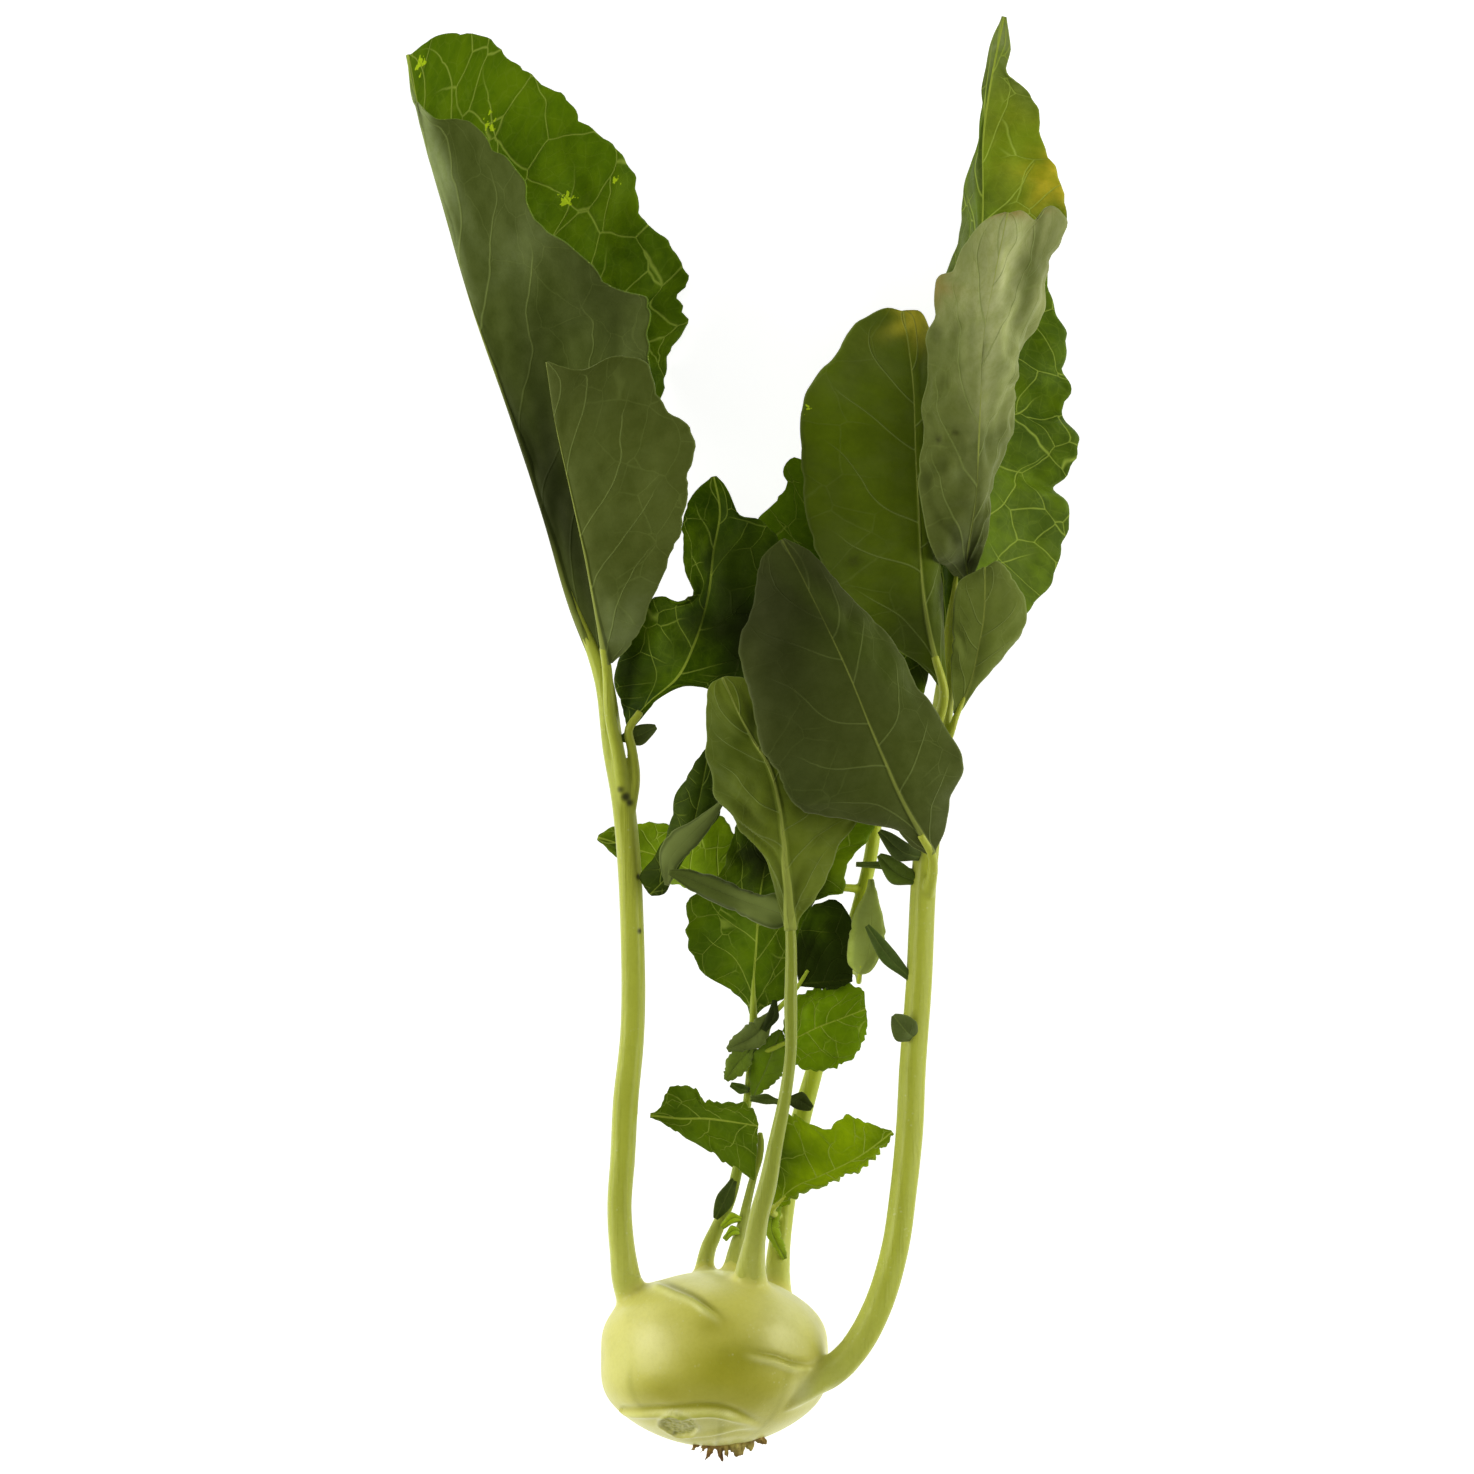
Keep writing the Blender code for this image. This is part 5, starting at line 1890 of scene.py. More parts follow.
LEFT_LOW = Sheet(
    rib=((-28, 208, 42), (-21, 216, 42), (-12, 224, 43), (-6, 236, 44), (-2, 250, 45), (0, 266, 46),
         (2, 279, 46), (0, 290, 46)),
    left=((-30, 214, 35), (-32.5, 223, 30), (-31.5, 231, 29), (-26, 243, 31), (-18, 251, 35),
          (-12, 249, 39), (-8, 250, 42), (-9, 261, 42), (-10, 272, 43), (-9, 280, 44), (-5, 286, 46)),
    right=((-21, 214, 42), (-13, 220, 43), (-4, 221, 44), (5, 219, 44), (13, 224, 44), (16, 240, 42),
           (20, 258, 40), (21, 269, 41), (15, 276, 42), (9, 277, 44), (6, 282, 45), (3, 288, 46)),
    teeth=(8, 9), tooth_depth=0.7, cup=(-1.5, -1.5), ruffle=0.8, rib_radius=(1.5, 0.5),
    upper=srgb(56, 82, 0), under=srgb(66, 78, 30), veins=5,
    spots=(Spot(11, 240, 20, SHADOW_GREEN, 0.97), Spot(12, 264, 14, srgb(40, 56, 6), 0.8),
           Spot(-7, 262, 9, BRIGHT_GREEN, 0.5, 0, 2, 1.5), Spot(-17, 238, 9, BRIGHT_GREEN, 0.45),
           Spot(-29, 226, 8, FOLD_SHADE, 0.6)))
LEFT_SMALL = Sheet(
    rib=((-21, 153, 41), (-16, 158, 44), (-9, 168, 46), (-5, 183, 47), (-1.5, 201, 47)),
    left=((-24, 158, 41), (-19.5, 165, 42), (-13.6, 177, 43), (-12.8, 185.5, 44), (-7.8, 192.5, 46),
          (-4.2, 199, 47)),
    right=((-17, 153, 41), (-14, 158, 43), (-10.5, 166, 45), (-3, 174, 45.4), (2, 179, 45.4),
           (0, 188, 46)),
    teeth=(3, 3), tooth_depth=0.6, saw=0.2, cup=(1, 1), rib_radius=(0.7, 0.4), upper=srgb(50, 68, 14),
    under=srgb(60, 74, 30), veins=4, step=0.7)
LEFT_FOLD = Sheet(
    rib=((-15.4, 156.2, 43.4), (-14, 165, 50), (-8, 172, 51.5), (-2, 178, 51), (2.5, 183, 50)),
    left=((-17, 161, 47), (-17.4, 167, 48), (-13.6, 173.5, 49), (-8.1, 176.2, 50)),
    right=((-13.5, 158, 45.5), (-11.7, 163, 49), (-6.8, 168, 50.5), (-1.9, 174.2, 50.5)),
    teeth=(2, 2), tooth_depth=0.3, saw=0.1, cup=(0.4, 0.4), rib_radius=(0.6, 0.4), up=Face.UNDER,
    upper=srgb(60, 80, 16), under=srgb(80, 92, 42), veins=3, plain=True, step=0.6)

# ---- the large right leaf ----
RIGHT_MAIN = Sheet(
    rib=((76, 220, 48), (78, 243, 42), (81, 270, 35), (84, 300, 30), (87, 332, 27), (88, 360, 25),
         (89, 382, 24), (89, 402, 24), (91, 418, 25), (96, 443, 26)),
    left=((73, 233, 40), (70, 262, 30), (70, 297, 20), (72, 327, 15), (76, 350, 13), (80, 363, 14),
          (83, 385, 16), (87, 400, 21), (89, 420, 24), (92, 436, 26)),
    right=((80, 219, 44), (90, 228, 32), (99, 239, 22), (106, 250, 14), (112, 257, 9), (116, 271, 4),
           (118, 284, 2), (113, 288, 1.8), (118, 293, 1.8), (122, 305, 1.8), (115, 312, 1.8),
           (119, 321, 1.8), (116, 328, 1.8), (118, 336, 1.6), (114, 348, 1.8), (112, 363, 2),
           (117, 379, 5), (115, 390, 8), (110, 400, 12), (107, 414, 17), (102, 421, 21),
           (97, 424, 24), (98, 434, 26)),
    teeth=(5, 12), tooth_depth=1.3, saw=0.7, cup=(-1, -2), ruffle=1.2, waves=4, rib_radius=(3, 0.6),
    upper=srgb(70, 95, 2), under=srgb(80, 92, 36), veins=9,
    spots=(Spot(104, 402, 27, srgb(136, 150, 24), 0.9, 1),
           Spot(113, 391, 8, srgb(222, 196, 50), 0.9, 1),
           Spot(104, 290, 14, srgb(90, 112, 26), 0.5, 1),
           Spot(100, 262, 16, srgb(100, 120, 40), 0.6, 1),
           Spot(94, 436, 16, srgb(150, 162, 100), 0.8),
           Spot(78, 370, 26, srgb(110, 122, 66), 0.8, -1)))
RIGHT_ROLL = Sheet(
    rib=((85, 254, 29), (83, 262, 44), (85, 285, 69), (86, 310, 75), (87, 333, 76), (91, 355, 75),
         (95, 374, 73)),
    left=((76, 261, 46), (71, 266, 58), (67, 282, 63), (68, 298, 64), (69, 321, 64), (71, 340, 64),
          (73, 354, 64), (78, 355, 66), (82, 364, 67), (88, 372, 71)),
    right=((86, 262, 48), (89, 270, 54), (90, 282, 59), (93, 297, 59), (97, 314, 59), (101, 331, 57),
           (106, 349, 55), (111, 364, 54), (114, 374, 54), (109, 377, 58), (105, 372, 64),
           (99, 375, 70)),
    teeth=(4, 4), tooth_depth=0.7, cup=(2, 3), ruffle=1, waves=5, rib_radius=(1.2, 0.5),
    up=Face.UNDER, upper=srgb(80, 98, 26), under=srgb(102, 112, 50), veins=5, slant=1.6, folds=0.8,
    buckle=2.6,
    # The pale and dark stretched spots along the roll are painted highlights and painted shade on its
    # curve; the dry edge and nick spots are its own marks.
    spots=(Spot(98, 356, 34, srgb(176, 180, 120), 0.9, 0, 1.5, 1.3),
           Spot(101.5, 350, 34, srgb(78, 88, 26), 0.95, 0, 6.5, 1.36),
           Spot(92.5, 347, 28, srgb(196, 200, 142), 0.85, 0, 6, 1.4),
           Spot(94, 325, 26, srgb(164, 172, 110), 0.6, 0, 3, 1.4),
           Spot(70, 320, 36, srgb(92, 102, 44), 0.7, 0, 4.5, 1.5),
           Spot(88, 300, 9, srgb(88, 98, 48), 0.7, 0, 2, 0.5),
           Spot(90, 282, 5, srgb(140, 148, 92), 0.7, 0, 2, 2.2),
           Spot(80, 290, 5, srgb(130, 140, 84), 0.6, 0, 2.5, 0.8),
           Spot(78, 280, 18, srgb(76, 86, 30), 0.7), Spot(84, 265, 10, srgb(48, 56, 18), 0.7),
           Spot(96, 374.5, 10, DRY_EDGE, 0.8, 0, 5, 0.1), Spot(72, 351, 5, DRY_EDGE, 0.7),
           Spot(73, 301, 1.2, NICK_BROWN, 0.8), Spot(78, 303, 1, NICK_BROWN, 0.8),
           Spot(84, 262, 1.5, NICK_BROWN, 0.8)))
RIGHT_INNER = Sheet(
    rib=((75, 221, 57), (71, 235, 58), (68, 254, 56), (67, 275, 54), (66, 295, 52), (65, 321, 51),
         (62, 344, 50)),
    left=((69, 227, 56), (62, 232, 55), (54, 236, 53), (45, 246, 51), (38, 257, 49), (33, 268, 48),
          (30, 283, 47), (29, 302, 47), (30, 316, 47), (34, 323, 47), (40, 329, 47), (44, 337, 48),
          (52, 343, 49), (57, 345, 49)),
    right=((75, 233, 55), (75, 246, 50), (73, 262, 46), (73, 290, 45), (72, 315, 45), (71, 337, 47),
           (67, 344, 49)),
    teeth=(7, 2), tooth_depth=0.5, cup=(1.5, 1.5), ruffle=0.5, rib_radius=(1.4, 0.5), up=Face.UNDER,
    upper=srgb(70, 92, 12), under=srgb(82, 99, 8), veins=6, folds=0.6, buckle=0.7,
    spots=(Spot(66.8, 340.9, 8, srgb(214, 200, 60), 1, 0, 1.3, 0.3),
           Spot(38, 305, 24, srgb(104, 126, 8), 0.75, 0, 1.5, 1.5),
           Spot(50, 332, 13, srgb(100, 112, 44), 0.4), Spot(66, 240, 12, srgb(44, 54, 14), 0.6),
           Spot(30, 312, 3, YELLOW, 0.8, fleck=True), Spot(46, 262, 1.8, NICK_BROWN, 0.6)))
RIGHT_LOW = Sheet(
    rib=((79, 212, 53), (82, 218, 53), (84.3, 224, 53), (86, 232, 53), (88, 243, 53), (88.5, 260, 53)),
    left=((78.3, 218, 54), (77.8, 230, 54), (78.2, 242, 54), (81, 256, 54)),
    right=((83, 217, 52), (87, 223, 50), (93.3, 230, 49), (99, 236, 48), (102, 242, 47),
           (102, 247, 47), (100, 252, 48), (96, 259, 50), (92, 262, 52)),
    teeth=(2, 5), tooth_depth=0.6, cup=(0, 2), ruffle=0.5, rib_radius=(0.9, 0.4), up=Face.UNDER,
    upper=srgb(60, 86, 14), under=srgb(108, 121, 48), veins=4,
    spots=(Spot(88, 262, 8, FOLD_SHADE, 0.5),),
    step=0.9)
RIGHT_FRONT = Sheet(
    rib=((71, 167, 62), (62, 182, 72), (52, 204, 80), (43, 226, 84), (33, 247, 86), (27, 259, 86),
         (22, 268, 85)),
    left=((65, 169, 63), (59, 175, 67), (47, 177, 72), (36, 179, 75), (27, 182, 77), (22, 191, 78),
          (14, 206, 78), (13, 215, 78), (9, 228, 78), (9, 237, 78), (13, 247, 80), (14, 256, 82),
          (17, 264, 84)),
    right=((74, 172, 61), (77, 184, 64), (81, 195, 67), (76, 206, 71), (66, 221, 75), (61, 230, 77),
           (53, 241, 80), (44, 249, 82), (36, 259, 84), (28, 266, 85)),
    teeth=(9, 6), tooth_depth=0.6, cup=(2, 2), ruffle=0.7, rib_radius=(1.5, 0.5), up=Face.UNDER,
    upper=srgb(60, 84, 12), under=srgb(66, 75, 27), veins=6, folds=0.6, buckle=0.8,
    # The first, very dark spot is painted shade on the upper-left part.
    spots=(Spot(22, 246, 32, srgb(38, 44, 14), 0.9), Spot(66, 196, 20, srgb(80, 92, 30), 0.6),
           Spot(52, 232, 24, srgb(74, 90, 22), 0.6, 0, 3, 2.4),
           Spot(26, 186, 12, srgb(52, 62, 24), 0.5)))

# ---- the front leaf and the leaves behind it ----
FRONT_MAIN = Sheet(
    rib=((25, 142, 63), (23, 165, 65), (21, 184, 66), (18, 195, 66), (12, 205, 64), (7, 215, 61),
         (3, 224, 58)),
    left=((22, 148, 61), (19, 158, 60), (16, 167, 59), (12, 174, 58), (6, 180, 57), (0, 187, 56),
          (-2, 197, 56), (-2, 215, 56), (-1, 222, 57)),
    right=((27.5, 145, 62), (33.5, 153, 60), (38, 162, 58), (41, 170, 57), (47, 178, 57),
           (50, 181, 57), (44, 191, 58), (35, 201, 58), (25, 211, 58), (16, 219, 58), (9, 224, 58)),
    teeth=(4, 7), tooth_depth=0.6, cup=(1.5, 1.5), ruffle=0.6, rib_radius=(2.3, 1), up=Face.UNDER,
    upper=srgb(70, 96, 12), under=srgb(106, 120, 30), veins=6, folds=3.2, buckle=1.4,
    spots=(Spot(4, 200, 19, srgb(68, 82, 8), 0.95), Spot(32, 194, 9, FOLD_SHADE, 0.7, 0, 3, 0.5),
           Spot(22, 152, 8, FOLD_SHADE, 0.5), Spot(12, 178, 8, FOLD_SHADE, 0.4)))
FRONT_CURL = Sheet(
    rib=((26, 146, 62.8), (20, 148, 60), (15, 149.6, 58), (8, 152, 56), (-2, 156, 54), (-9, 159, 53),
         (-14.5, 160.5, 53)),
    left=((21, 153.5, 60.5), (15, 153, 57), (8, 155.6, 55), (1, 158.6, 54), (-5, 160.4, 53),
          (-11, 161.4, 53)),
    right=((20, 142.5, 58), (12, 145.5, 56), (4, 149.2, 54), (-4, 153, 53), (-11, 157, 53)),
    teeth=(4, 2), tooth_depth=0.5, saw=0.1, cup=(1.4, 1.4), rib_radius=(0.45, 0.35), up=Face.UNDER,
    upper=srgb(60, 86, 14), under=srgb(56, 70, 10), veins=4, folds=0, buckle=0.3,
    spots=(Spot(14, 149, 6, srgb(98, 112, 50), 0.7),),
    plain=True, step=0.7)
BACK_RIGHT = Sheet(
    rib=((51, 220, 26), (44, 247, 28), (36, 271, 29), (30, 296, 30)),
    left=((44, 224, 22), (33, 243, 22), (23, 262, 24), (15, 276, 26), (20, 282, 27), (24, 287, 28),
          (23, 293, 29), (27, 297, 30)),
    right=((60, 217, 24), (69, 218, 26), (71, 228, 27), (68, 240, 25), (62, 252, 24), (54, 270, 24),
           (47, 287, 27), (38, 296, 29)),
    teeth=(8, 5), tooth_depth=0.8, cup=(1, 1), ruffle=0.8, rib_radius=(1.6, 0.5),
    upper=srgb(108, 138, 14), under=srgb(84, 98, 34), veins=5,
    spots=(Spot(68, 226, 13, SHADOW_GREEN, 0.9), Spot(34, 270, 9, srgb(60, 84, 10), 0.6)))
BACK_LEFT = Sheet(
    rib=((13, 113, 32), (13, 123, 33), (14, 136, 34), (15, 151, 35), (18, 167, 36), (24, 186, 36),
         (29, 203, 36)),
    left=((11, 116, 31), (4, 122, 30), (-4, 127, 29), (-8, 134, 28), (-9, 142, 28), (-8, 150, 29),
          (-1, 156, 30), (4, 165, 31), (8, 179, 32), (15, 194, 33), (22, 203, 35)),
    right=((16, 115, 31), (24, 119, 30), (28, 130, 30), (29, 143, 31), (33, 151, 31), (43, 154, 30),
           (44, 163, 30), (52, 173, 30), (52, 187, 31), (45, 199, 32), (37, 205, 34)),
    teeth=(9, 8), tooth_depth=0.8, saw=0.6, cup=(-1, -1), ruffle=0.7, rib_radius=(1.3, 0.5),
    upper=srgb(84, 112, 10), under=srgb(72, 86, 32), veins=7,
    spots=(Spot(17, 166, 14, SHADOW_GREEN, 0.95), Spot(32, 158, 8, FOLD_SHADE, 0.7),
           Spot(41, 166, 9, srgb(128, 154, 14), 0.9), Spot(20, 138, 8, BRIGHT_GREEN, 0.4)),
    step=0.8)
BACK_LOW = Sheet(
    rib=((16, 153, 25), (7, 156, 21), (-5, 159, 15), (-16, 164, 9), (-26, 167, 5), (-39, 171, 3)),
    left=((14, 152, 24), (5, 152, 20), (-5, 154, 14), (-15, 156, 8), (-25, 160, 4), (-33, 165, 3)),
    right=((19, 161, 22), (17, 169, 20), (11, 173, 18), (7, 172, 17), (3, 178, 15), (-5, 177, 11),
           (-13, 175, 7), (-20, 176, 5), (-27, 175, 3), (-35, 174, 2)),
    teeth=(4, 7), tooth_depth=0.7, saw=0.4, cup=(1, 1), ruffle=0.5, rib_radius=(1, 0.4),
    upper=srgb(128, 156, 4), under=srgb(66, 82, 34), veins=5,
    spots=(Spot(9, 166, 12, srgb(108, 136, 4), 0.8), Spot(-32, 168, 9, srgb(44, 62, 10), 0.8)),
    step=0.8)
MIDDLE_ROUND = Sheet(
    rib=((24, 104, 34), (28, 106, 35), (34, 109, 36), (42, 112, 36), (50, 115, 35)),
    left=((23, 110, 34), (26, 118, 34), (32, 121, 34), (42, 123, 34), (49, 121, 34)),
    right=((25, 99, 33), (28, 96, 32), (36, 95, 32), (44, 98, 33), (50, 107, 34)),
    teeth=(5, 7), tooth_depth=0.6, saw=1.1, cup=(0.8, 0.8), ruffle=0.6, rib_radius=(0.8, 0.4),
    upper=srgb(118, 150, 8), under=srgb(78, 94, 34), veins=5, slant=0.7, step=0.6)
# Its near-black upper colour is painted shade: the leaf lies in shadow behind the front leaf.
MIDDLE_SHADED = Sheet(
    rib=((28, 123.3, 38), (36, 124, 38.5), (45.5, 125, 39.5)),
    left=((27, 130, 37.5), (28, 140, 37.5), (33, 149, 37.5), (39, 151, 38), (44, 147, 38),
          (45.5, 134, 38.5)),
    right=((31, 122.5, 38), (37, 122, 38), (43, 123, 39)),
    teeth=(6, 2), tooth_depth=0.5, saw=0.4, cup=(-0.8, -0.3), rib_radius=(0.7, 0.4),
    upper=srgb(34, 48, 6), under=srgb(56, 70, 28), veins=4,
    spots=(Spot(32, 145, 6, srgb(66, 92, 10), 0.7),),
    step=0.7)
MIDDLE_CURLED = Sheet(
    rib=((47.8, 127, 44), (50.5, 133, 46), (51.5, 144, 47), (51.5, 158, 46)),
    left=((45.2, 129, 43), (44.5, 138, 44), (46.5, 147, 44.5), (50, 154, 45.5)),
    right=((49.5, 127, 43), (54.5, 133, 44), (55.5, 144, 44.5), (53.5, 152, 45.5)),
    teeth=(2, 3), tooth_depth=0.4, saw=0.2, cup=(0.8, 0.8), rib_radius=(0.7, 0.4), up=Face.UNDER,
    upper=srgb(60, 84, 14), under=srgb(172, 188, 84), veins=4, plain=True, step=0.6)
BOTTOM_LEFT = Sheet(
    rib=((14.6, 76.4, 34), (5, 78, 35), (-3, 79, 36), (-11, 79, 36), (-21, 80, 35)),
    left=((14, 68, 33), (13, 59, 32), (7, 63, 33), (1, 66, 33), (-6, 71, 34), (-13, 75, 35),
          (-18, 78, 35)),
    right=((12, 83, 34), (4, 84, 34), (-3, 85, 35), (-7, 89, 35), (-12, 90, 35), (-16, 87, 35),
           (-18, 82, 35)),
    teeth=(5, 6), tooth_depth=0.8, saw=1, cup=(-0.8, -0.8), ruffle=0.5, rib_radius=(0.8, 0.4),
    upper=srgb(90, 116, 18), under=srgb(74, 92, 36), veins=4,
    spots=(Spot(6, 72, 9, srgb(92, 118, 14), 0.5),),
    step=0.6)
BOTTOM_RIGHT = Sheet(
    rib=((20, 50, 26), (27, 56, 28), (36, 60, 29), (48, 66, 29), (59, 74, 28)),
    left=((18, 61, 26), (20, 74, 27), (25, 80, 27), (32, 76, 28), (39, 76, 28), (44, 79, 28),
          (53, 76, 28)),
    right=((24, 50, 26), (29, 54, 27), (36, 57, 27), (44, 60, 28), (50, 63, 28), (56, 69, 28)),
    teeth=(6, 7), tooth_depth=1.4, saw=1.3, cup=(0.8, 0.8), ruffle=0.7, rib_radius=(0.8, 0.4),
    upper=srgb(146, 172, 6), under=srgb(84, 110, 36), veins=5, slant=0.6,
    spots=(Spot(20, 66, 12, srgb(56, 82, 8), 0.95), Spot(58, 73, 7, srgb(70, 96, 12), 0.6)),
    step=0.6)


# ---- the stalks ----

STALKS = (
    Stalk(
        "leaf_stalk_left", blade=LEFT_MAIN,
        path=((-22, 12, 41), (-28, 24, 43), (-30, 36, 44), (-31, 50, 44), (-30, 66, 43),
              (-29, 85, 42), (-27, 105, 41), (-27, 144, 39), (-28, 164, 38), (-30, 184, 38),
              (-33, 200, 37), (-37, 225.5, 36)),
        radii=(6, 5, 4.2, 4, 4.1, 4.2, 4, 3.9, 3.9, 3.8, 3.6, 3),
        branches=((((-29, 179, 39), (-31, 197, 42), (-34, 212, 44), (-35, 227, 46), (-36, 234, 51)),
                   (2.6, 1.5)),
                  (((-28, 179, 39), (-26, 192, 40), (-27, 201, 41), (-28, 206.5, 42), (-24, 213, 42)),
                   (2.2, 1.3))),
        leaflets=(Leaflet((-31, 204, 37), (-25, 205, 38), (-19, 208, 38), 3.2),),
        nicks=((-31, 196.4, 41.5, 1.3), (-30.1, 192.5, 42, 1), (-30.4, 187.5, 42, 1.2),
               (-29, 185, 42, 1.5), (-27.4, 183, 42, 1.2), (-24.6, 158.7, 41, 1),
               (-24.4, 140.9, 42, 0.9), (-24.6, 122.2, 42, 0.9))),
    Stalk(
        "leaf_stalk_right", blade=RIGHT_MAIN,
        path=((28, -5, 49), (37, -3, 55), (44, 3, 57), (49, 10, 57), (53, 18, 57), (59, 37, 55),
              (62, 57, 54), (64, 76, 52), (65, 96, 51), (67, 122, 50), (69, 161, 49), (71, 181, 49),
              (73, 200, 49), (75.5, 218, 48)),
        radii=(6, 5.2, 4.8, 4.8, 4.7, 4.5, 4.4, 4.5, 4.4, 4.3, 4.2, 4.1, 3.9, 3.4),
        branches=((((71, 190, 49), (72, 205, 53), (75, 219, 57), (72, 231, 58)), (2.4, 1.3)),
                  (((73, 197, 49), (77, 205, 52), (79, 211, 53), (82, 218, 53)), (1.8, 0.8)),
                  (((69, 150, 49), (71, 158, 55), (71, 166, 61), (67, 173, 67)), (2.2, 1.2))),
        leaflets=(Leaflet((66, 124, 51), (57, 133, 52), (50, 143, 52), 2.6, srgb(70, 90, 34)),
                  Leaflet((66, 106, 53), (62.5, 109, 57), (58.5, 114, 57), 4.4),
                  Leaflet((69, 165, 51), (61, 167.5, 56), (54, 174, 56), 3.2, srgb(66, 80, 34)),
                  Leaflet((68, 157, 50), (60, 160, 52), (54, 166, 51), 3.6, srgb(84, 104, 30), 1),
                  Leaflet((68, 160, 50), (57, 162.5, 49), (46.5, 163, 49), 1.2, srgb(96, 116, 40))),
        web=((((20, -12, 56), (29, -8, 57), (38, -2, 57), (46, 6, 57)), (4.5, 4.2)),)),
    Stalk(
        "leaf_stalk_front", blade=FRONT_MAIN, tone=srgb(148, 160, 54), head=srgb(126, 138, 34),
        path=((12, 20, 47), (12, 31, 54), (13, 38, 57), (15, 50, 60), (17, 57, 61), (20, 72, 63),
              (23, 87, 64), (25, 102, 64), (25, 117, 64), (25, 141, 63)),
        radii=(6.2, 4.9, 3.6, 3.2, 3.1, 2.5, 2.1, 1.9, 2.2, 1.8),
        leaflets=(Leaflet((23, 87, 64), (28, 86.5, 62), (32, 84, 62), 2.8, srgb(46, 58, 14)),
                  Leaflet((22, 86, 64), (17, 87, 62), (12, 87, 61), 1.5, srgb(58, 74, 18)))),
    Stalk(
        "leaf_stalk_back_right", blade=BACK_RIGHT, tone=srgb(176, 190, 44),
        path=((21, 16, 26), (21, 29, 18), (22, 39, 15), (24, 54, 13), (28, 74, 12), (34, 96, 12),
              (40, 119, 13), (45, 137, 14), (52, 165, 16), (54, 180, 17), (55, 197, 19),
              (51.3, 219, 26)),
        radii=(5, 4, 3.6, 3.6, 3.4, 2.9, 2.6, 2.4, 2.3, 2.2, 2, 1.7),
        branches=((((23, 44, 14), (20, 46, 19), (19.2, 48, 24.4), (24, 53, 27)), (1.8, 0.7)),
                  (((42, 128, 14), (47, 127, 26), (47.8, 125.6, 42.8), (48.4, 131, 45)), (1.6, 0.7)),
                  (((50, 154, 15), (34, 155, 21), (17, 153, 25), (9, 155.5, 22)), (1.5, 0.8))),
        # The bright yellow-green is partly the leaflet's own colour and partly painted glow of light
        # through it.
        leaflets=(Leaflet((22, 50, 16), (19, 42, 21), (23.5, 31.5, 22), 2.4, srgb(158, 184, 40), 0.5,
                          6),
                  Leaflet((22, 53, 16), (18, 50, 21), (17, 43.5, 22), 2, srgb(116, 146, 20), 1, 3))),
    Stalk(
        "leaf_stalk_back_left", blade=BACK_LEFT, tone=srgb(140, 164, 30),
        path=((-4, 22, 30), (-2, 35, 25), (1, 42, 24), (5, 51, 24), (8, 63, 26), (10, 76, 28),
              (12, 95, 30), (13, 112.4, 32)),
        radii=(3.6, 2.6, 2.3, 2, 1.8, 1.6, 1.4, 1.4),
        branches=((((12, 100, 30), (17, 101, 33), (23.5, 103.8, 34), (28, 106, 35)), (1.2, 0.7)),
                  (((13, 108, 31), (20, 114, 36), (27.7, 122.7, 38), (31, 128, 38)), (1.2, 0.7))),
        leaflets=(Leaflet((7, 59, 26), (3.5, 51.5, 29), (0.5, 45.5, 29), 2.8, srgb(64, 80, 28)),
                  Leaflet((20, 114, 36), (13.5, 106.5, 36), (4.5, 101.5, 34), 4, srgb(96, 110, 50),
                          1.2, 3),
                  Leaflet((13, 86, 31), (17.5, 96, 33), (22, 108, 33), 5.6, srgb(98, 126, 10), 0.5, 6),
                  Leaflet((20, 118, 37), (19.5, 113, 37.5), (16.5, 108, 37.2), 1.8, srgb(34, 46, 12)),
                  Leaflet((13, 103, 32), (8.5, 98, 34.5), (4, 91.5, 33), 3.6, srgb(104, 126, 36), 1,
                          4),
                  Leaflet((12, 88, 30), (9, 88.5, 32), (5.5, 90, 32), 1.5, srgb(60, 82, 14)))),
    Stalk(
        "leaf_stalk_back_middle", tone=srgb(84, 110, 12),
        path=((5, 22, 34), (7, 34, 33), (9, 42, 31), (11, 51, 28), (13, 59, 27), (15, 66, 28),
              (15.4, 71, 30), (15.2, 74, 31.2)),
        radii=(3.8, 2.8, 1.9, 1.5, 1.3, 1.3, 1.2, 0.9),
        # The bright yellow-greens are partly the leaflets' own colour and partly painted glow of light
        # through them.
        leaflets=(Leaflet((10, 45, 30), (6, 46, 32), (2.5, 43, 33), 1.6, srgb(170, 196, 30), 1.2),
                  Leaflet((9, 40, 31), (6, 42, 34), (3.5, 39, 34), 1.4, srgb(160, 188, 30), 1.2))),
)

BLADES = (
    ("blade_left_main", "leaf", (LEFT_MAIN,)),
    ("blade_left_front", "leaf_pale", (LEFT_FRONT,)),
    ("blade_left_low", "leaf", (LEFT_LOW,)),
    ("blade_left_small", "leaf", (LEFT_SMALL, LEFT_FOLD)),
    ("blade_right_main", "leaf", (RIGHT_MAIN, RIGHT_ROLL)),
    ("blade_right_inner", "leaf_pale", (RIGHT_INNER,)),
    ("blade_right_low", "leaf_pale", (RIGHT_LOW,)),
    ("blade_right_front", "leaf_pale", (RIGHT_FRONT,)),
    ("blade_front_main", "leaf_pale", (FRONT_MAIN, FRONT_CURL)),
    ("blade_back_right", "leaf", (BACK_RIGHT,)),
    ("blade_back_left", "leaf", (BACK_LEFT,)),
    ("blade_back_low", "leaf", (BACK_LOW,)),
    ("blade_middle_round", "leaf", (MIDDLE_ROUND,)),
    ("blade_middle_dark", "leaf", (MIDDLE_SHADED,)),
    ("blade_middle_curled", "leaf_pale", (MIDDLE_CURLED,)),
    ("blade_bottom_left", "leaf", (BOTTOM_LEFT,)),
    ("blade_bottom_right", "leaf", (BOTTOM_RIGHT,)),
)

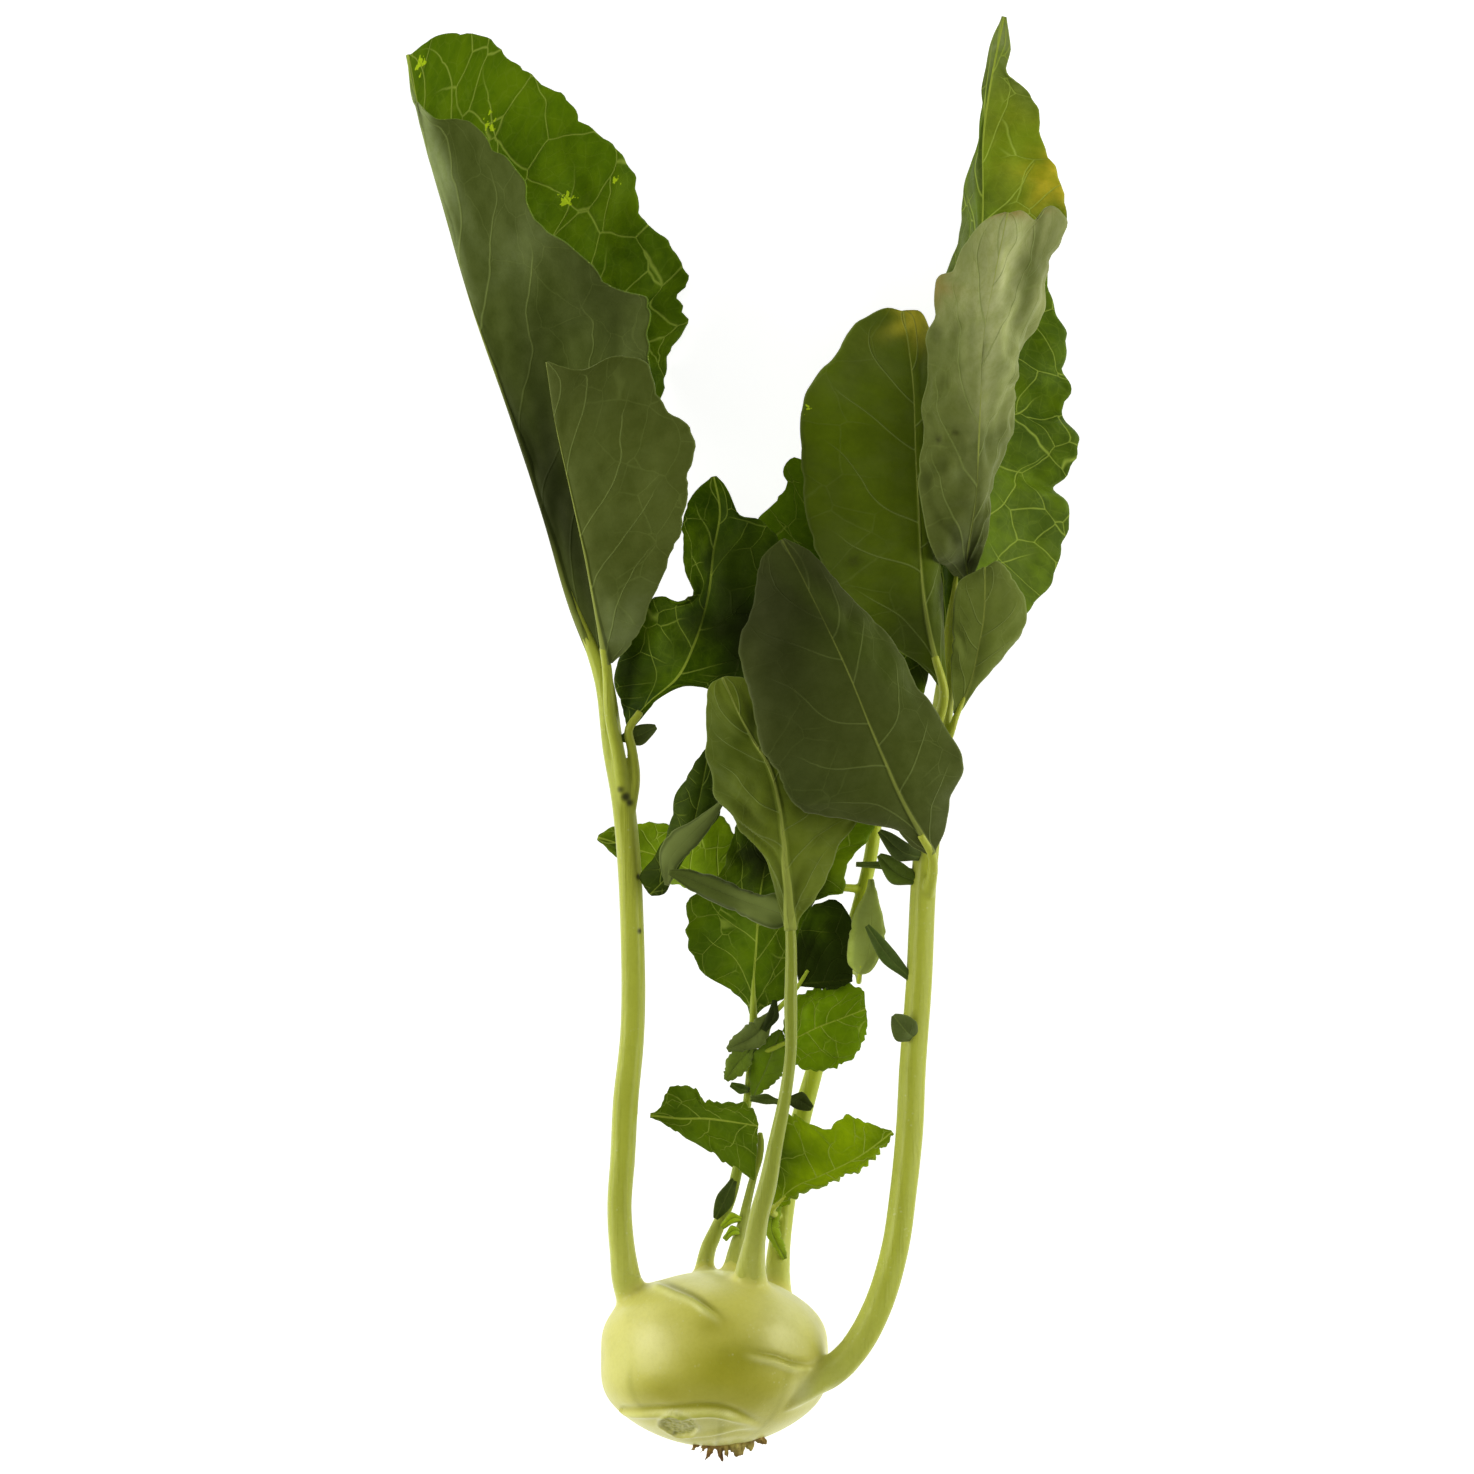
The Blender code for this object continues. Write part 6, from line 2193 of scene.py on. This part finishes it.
UPPER_FINISH = LeafFinish(
    "leaf_upper", "upper_tone", vein=srgb(160, 180, 66), rib=srgb(166, 184, 62),
    shade_and_mottle=(0.56, 0.64, 0.18), vein_amount=0.76, net_amount=0.45,
    margin_amount=0.1, bloom=srgb(110, 138, 2), bloom_amount=0.45, hollow=0.30,
    web_amount=0.85, rib_amount=0.95, relief=-0.5, roughness=0.55, sheen=0.0)
UNDER_FINISH = LeafFinish(
    "leaf_under", "under_tone", vein=srgb(130, 144, 72), rib=srgb(156, 166, 72),
    shade_and_mottle=(0.72, 0.76, 0.44), vein_amount=0.50, net_amount=0.12,
    margin_amount=0.5, bloom=srgb(100, 112, 54), bloom_amount=0.2, hollow=0.12,
    web_amount=0.30, rib_amount=0.7, relief=0.4, roughness=0.60, sheen=0.13)
LEAFLET_FINISH = LeafFinish(
    "leaflet", "upper_tone", vein=srgb(104, 120, 56), rib=srgb(108, 124, 54),
    shade_and_mottle=(0.72, 0.74, 0.48), vein_amount=0.06, net_amount=0.0,
    margin_amount=0.3, bloom=srgb(104, 120, 60), bloom_amount=0.3, hollow=0.0,
    web_amount=0.0, rib_amount=0.7, relief=0.2, roughness=0.55, sheen=0.12)
BULB_FINISH = SkinFinish("bulb_skin", 0.36)
STALK_FINISH = SkinFinish("stalk_skin", 0.40)
ROOT_FINISH = RootFinish("root_wood", srgb(92, 62, 26), srgb(196, 172, 104))


def lay_leaflets(stalk: Stalk, leaflets: Blades) -> None:
    """Build the leaflets of one stalk as one piece.

    Args:
        stalk: The stalk that they grow from.
        leaflets: The leaf builder that dresses them.
    """
    if stalk.leaflets:
        piece = leaflets.lay(stalk.name.replace("leaf_stalk", "leaflets"),
                             [leaflet.sheet() for leaflet in stalk.leaflets])
        place_piece(piece, "leaf")


def main() -> None:
    """Build every piece, dress it and set up the studio."""
    logging.basicConfig(level=logging.INFO)
    bpy.context.scene.view_settings.view_transform = "Standard"
    bulb = Bulb().build(STALKS, BULB_FINISH.build())
    place_piece(bulb, "bulb", "bulb")
    place_piece(Root().build(ROOT_FINISH.build()), "root", "root_stub")
    blades = Blades(UPPER_FINISH, UNDER_FINISH)
    leaflets = Blades(LEAFLET_FINISH, LEAFLET_FINISH)
    stalk_skin = STALK_FINISH.build()
    for stalk in STALKS:
        place_piece(stalk.build(stalk_skin), "stalk", stalk.name.replace("leaf_", ""))
        lay_leaflets(stalk, leaflets)
    for node, slot, sheets in BLADES:
        place_piece(blades.lay(node.replace("blade", "leaf"), sheets), slot, node)
    Studio().build()


if __name__ == "__main__":
    main()
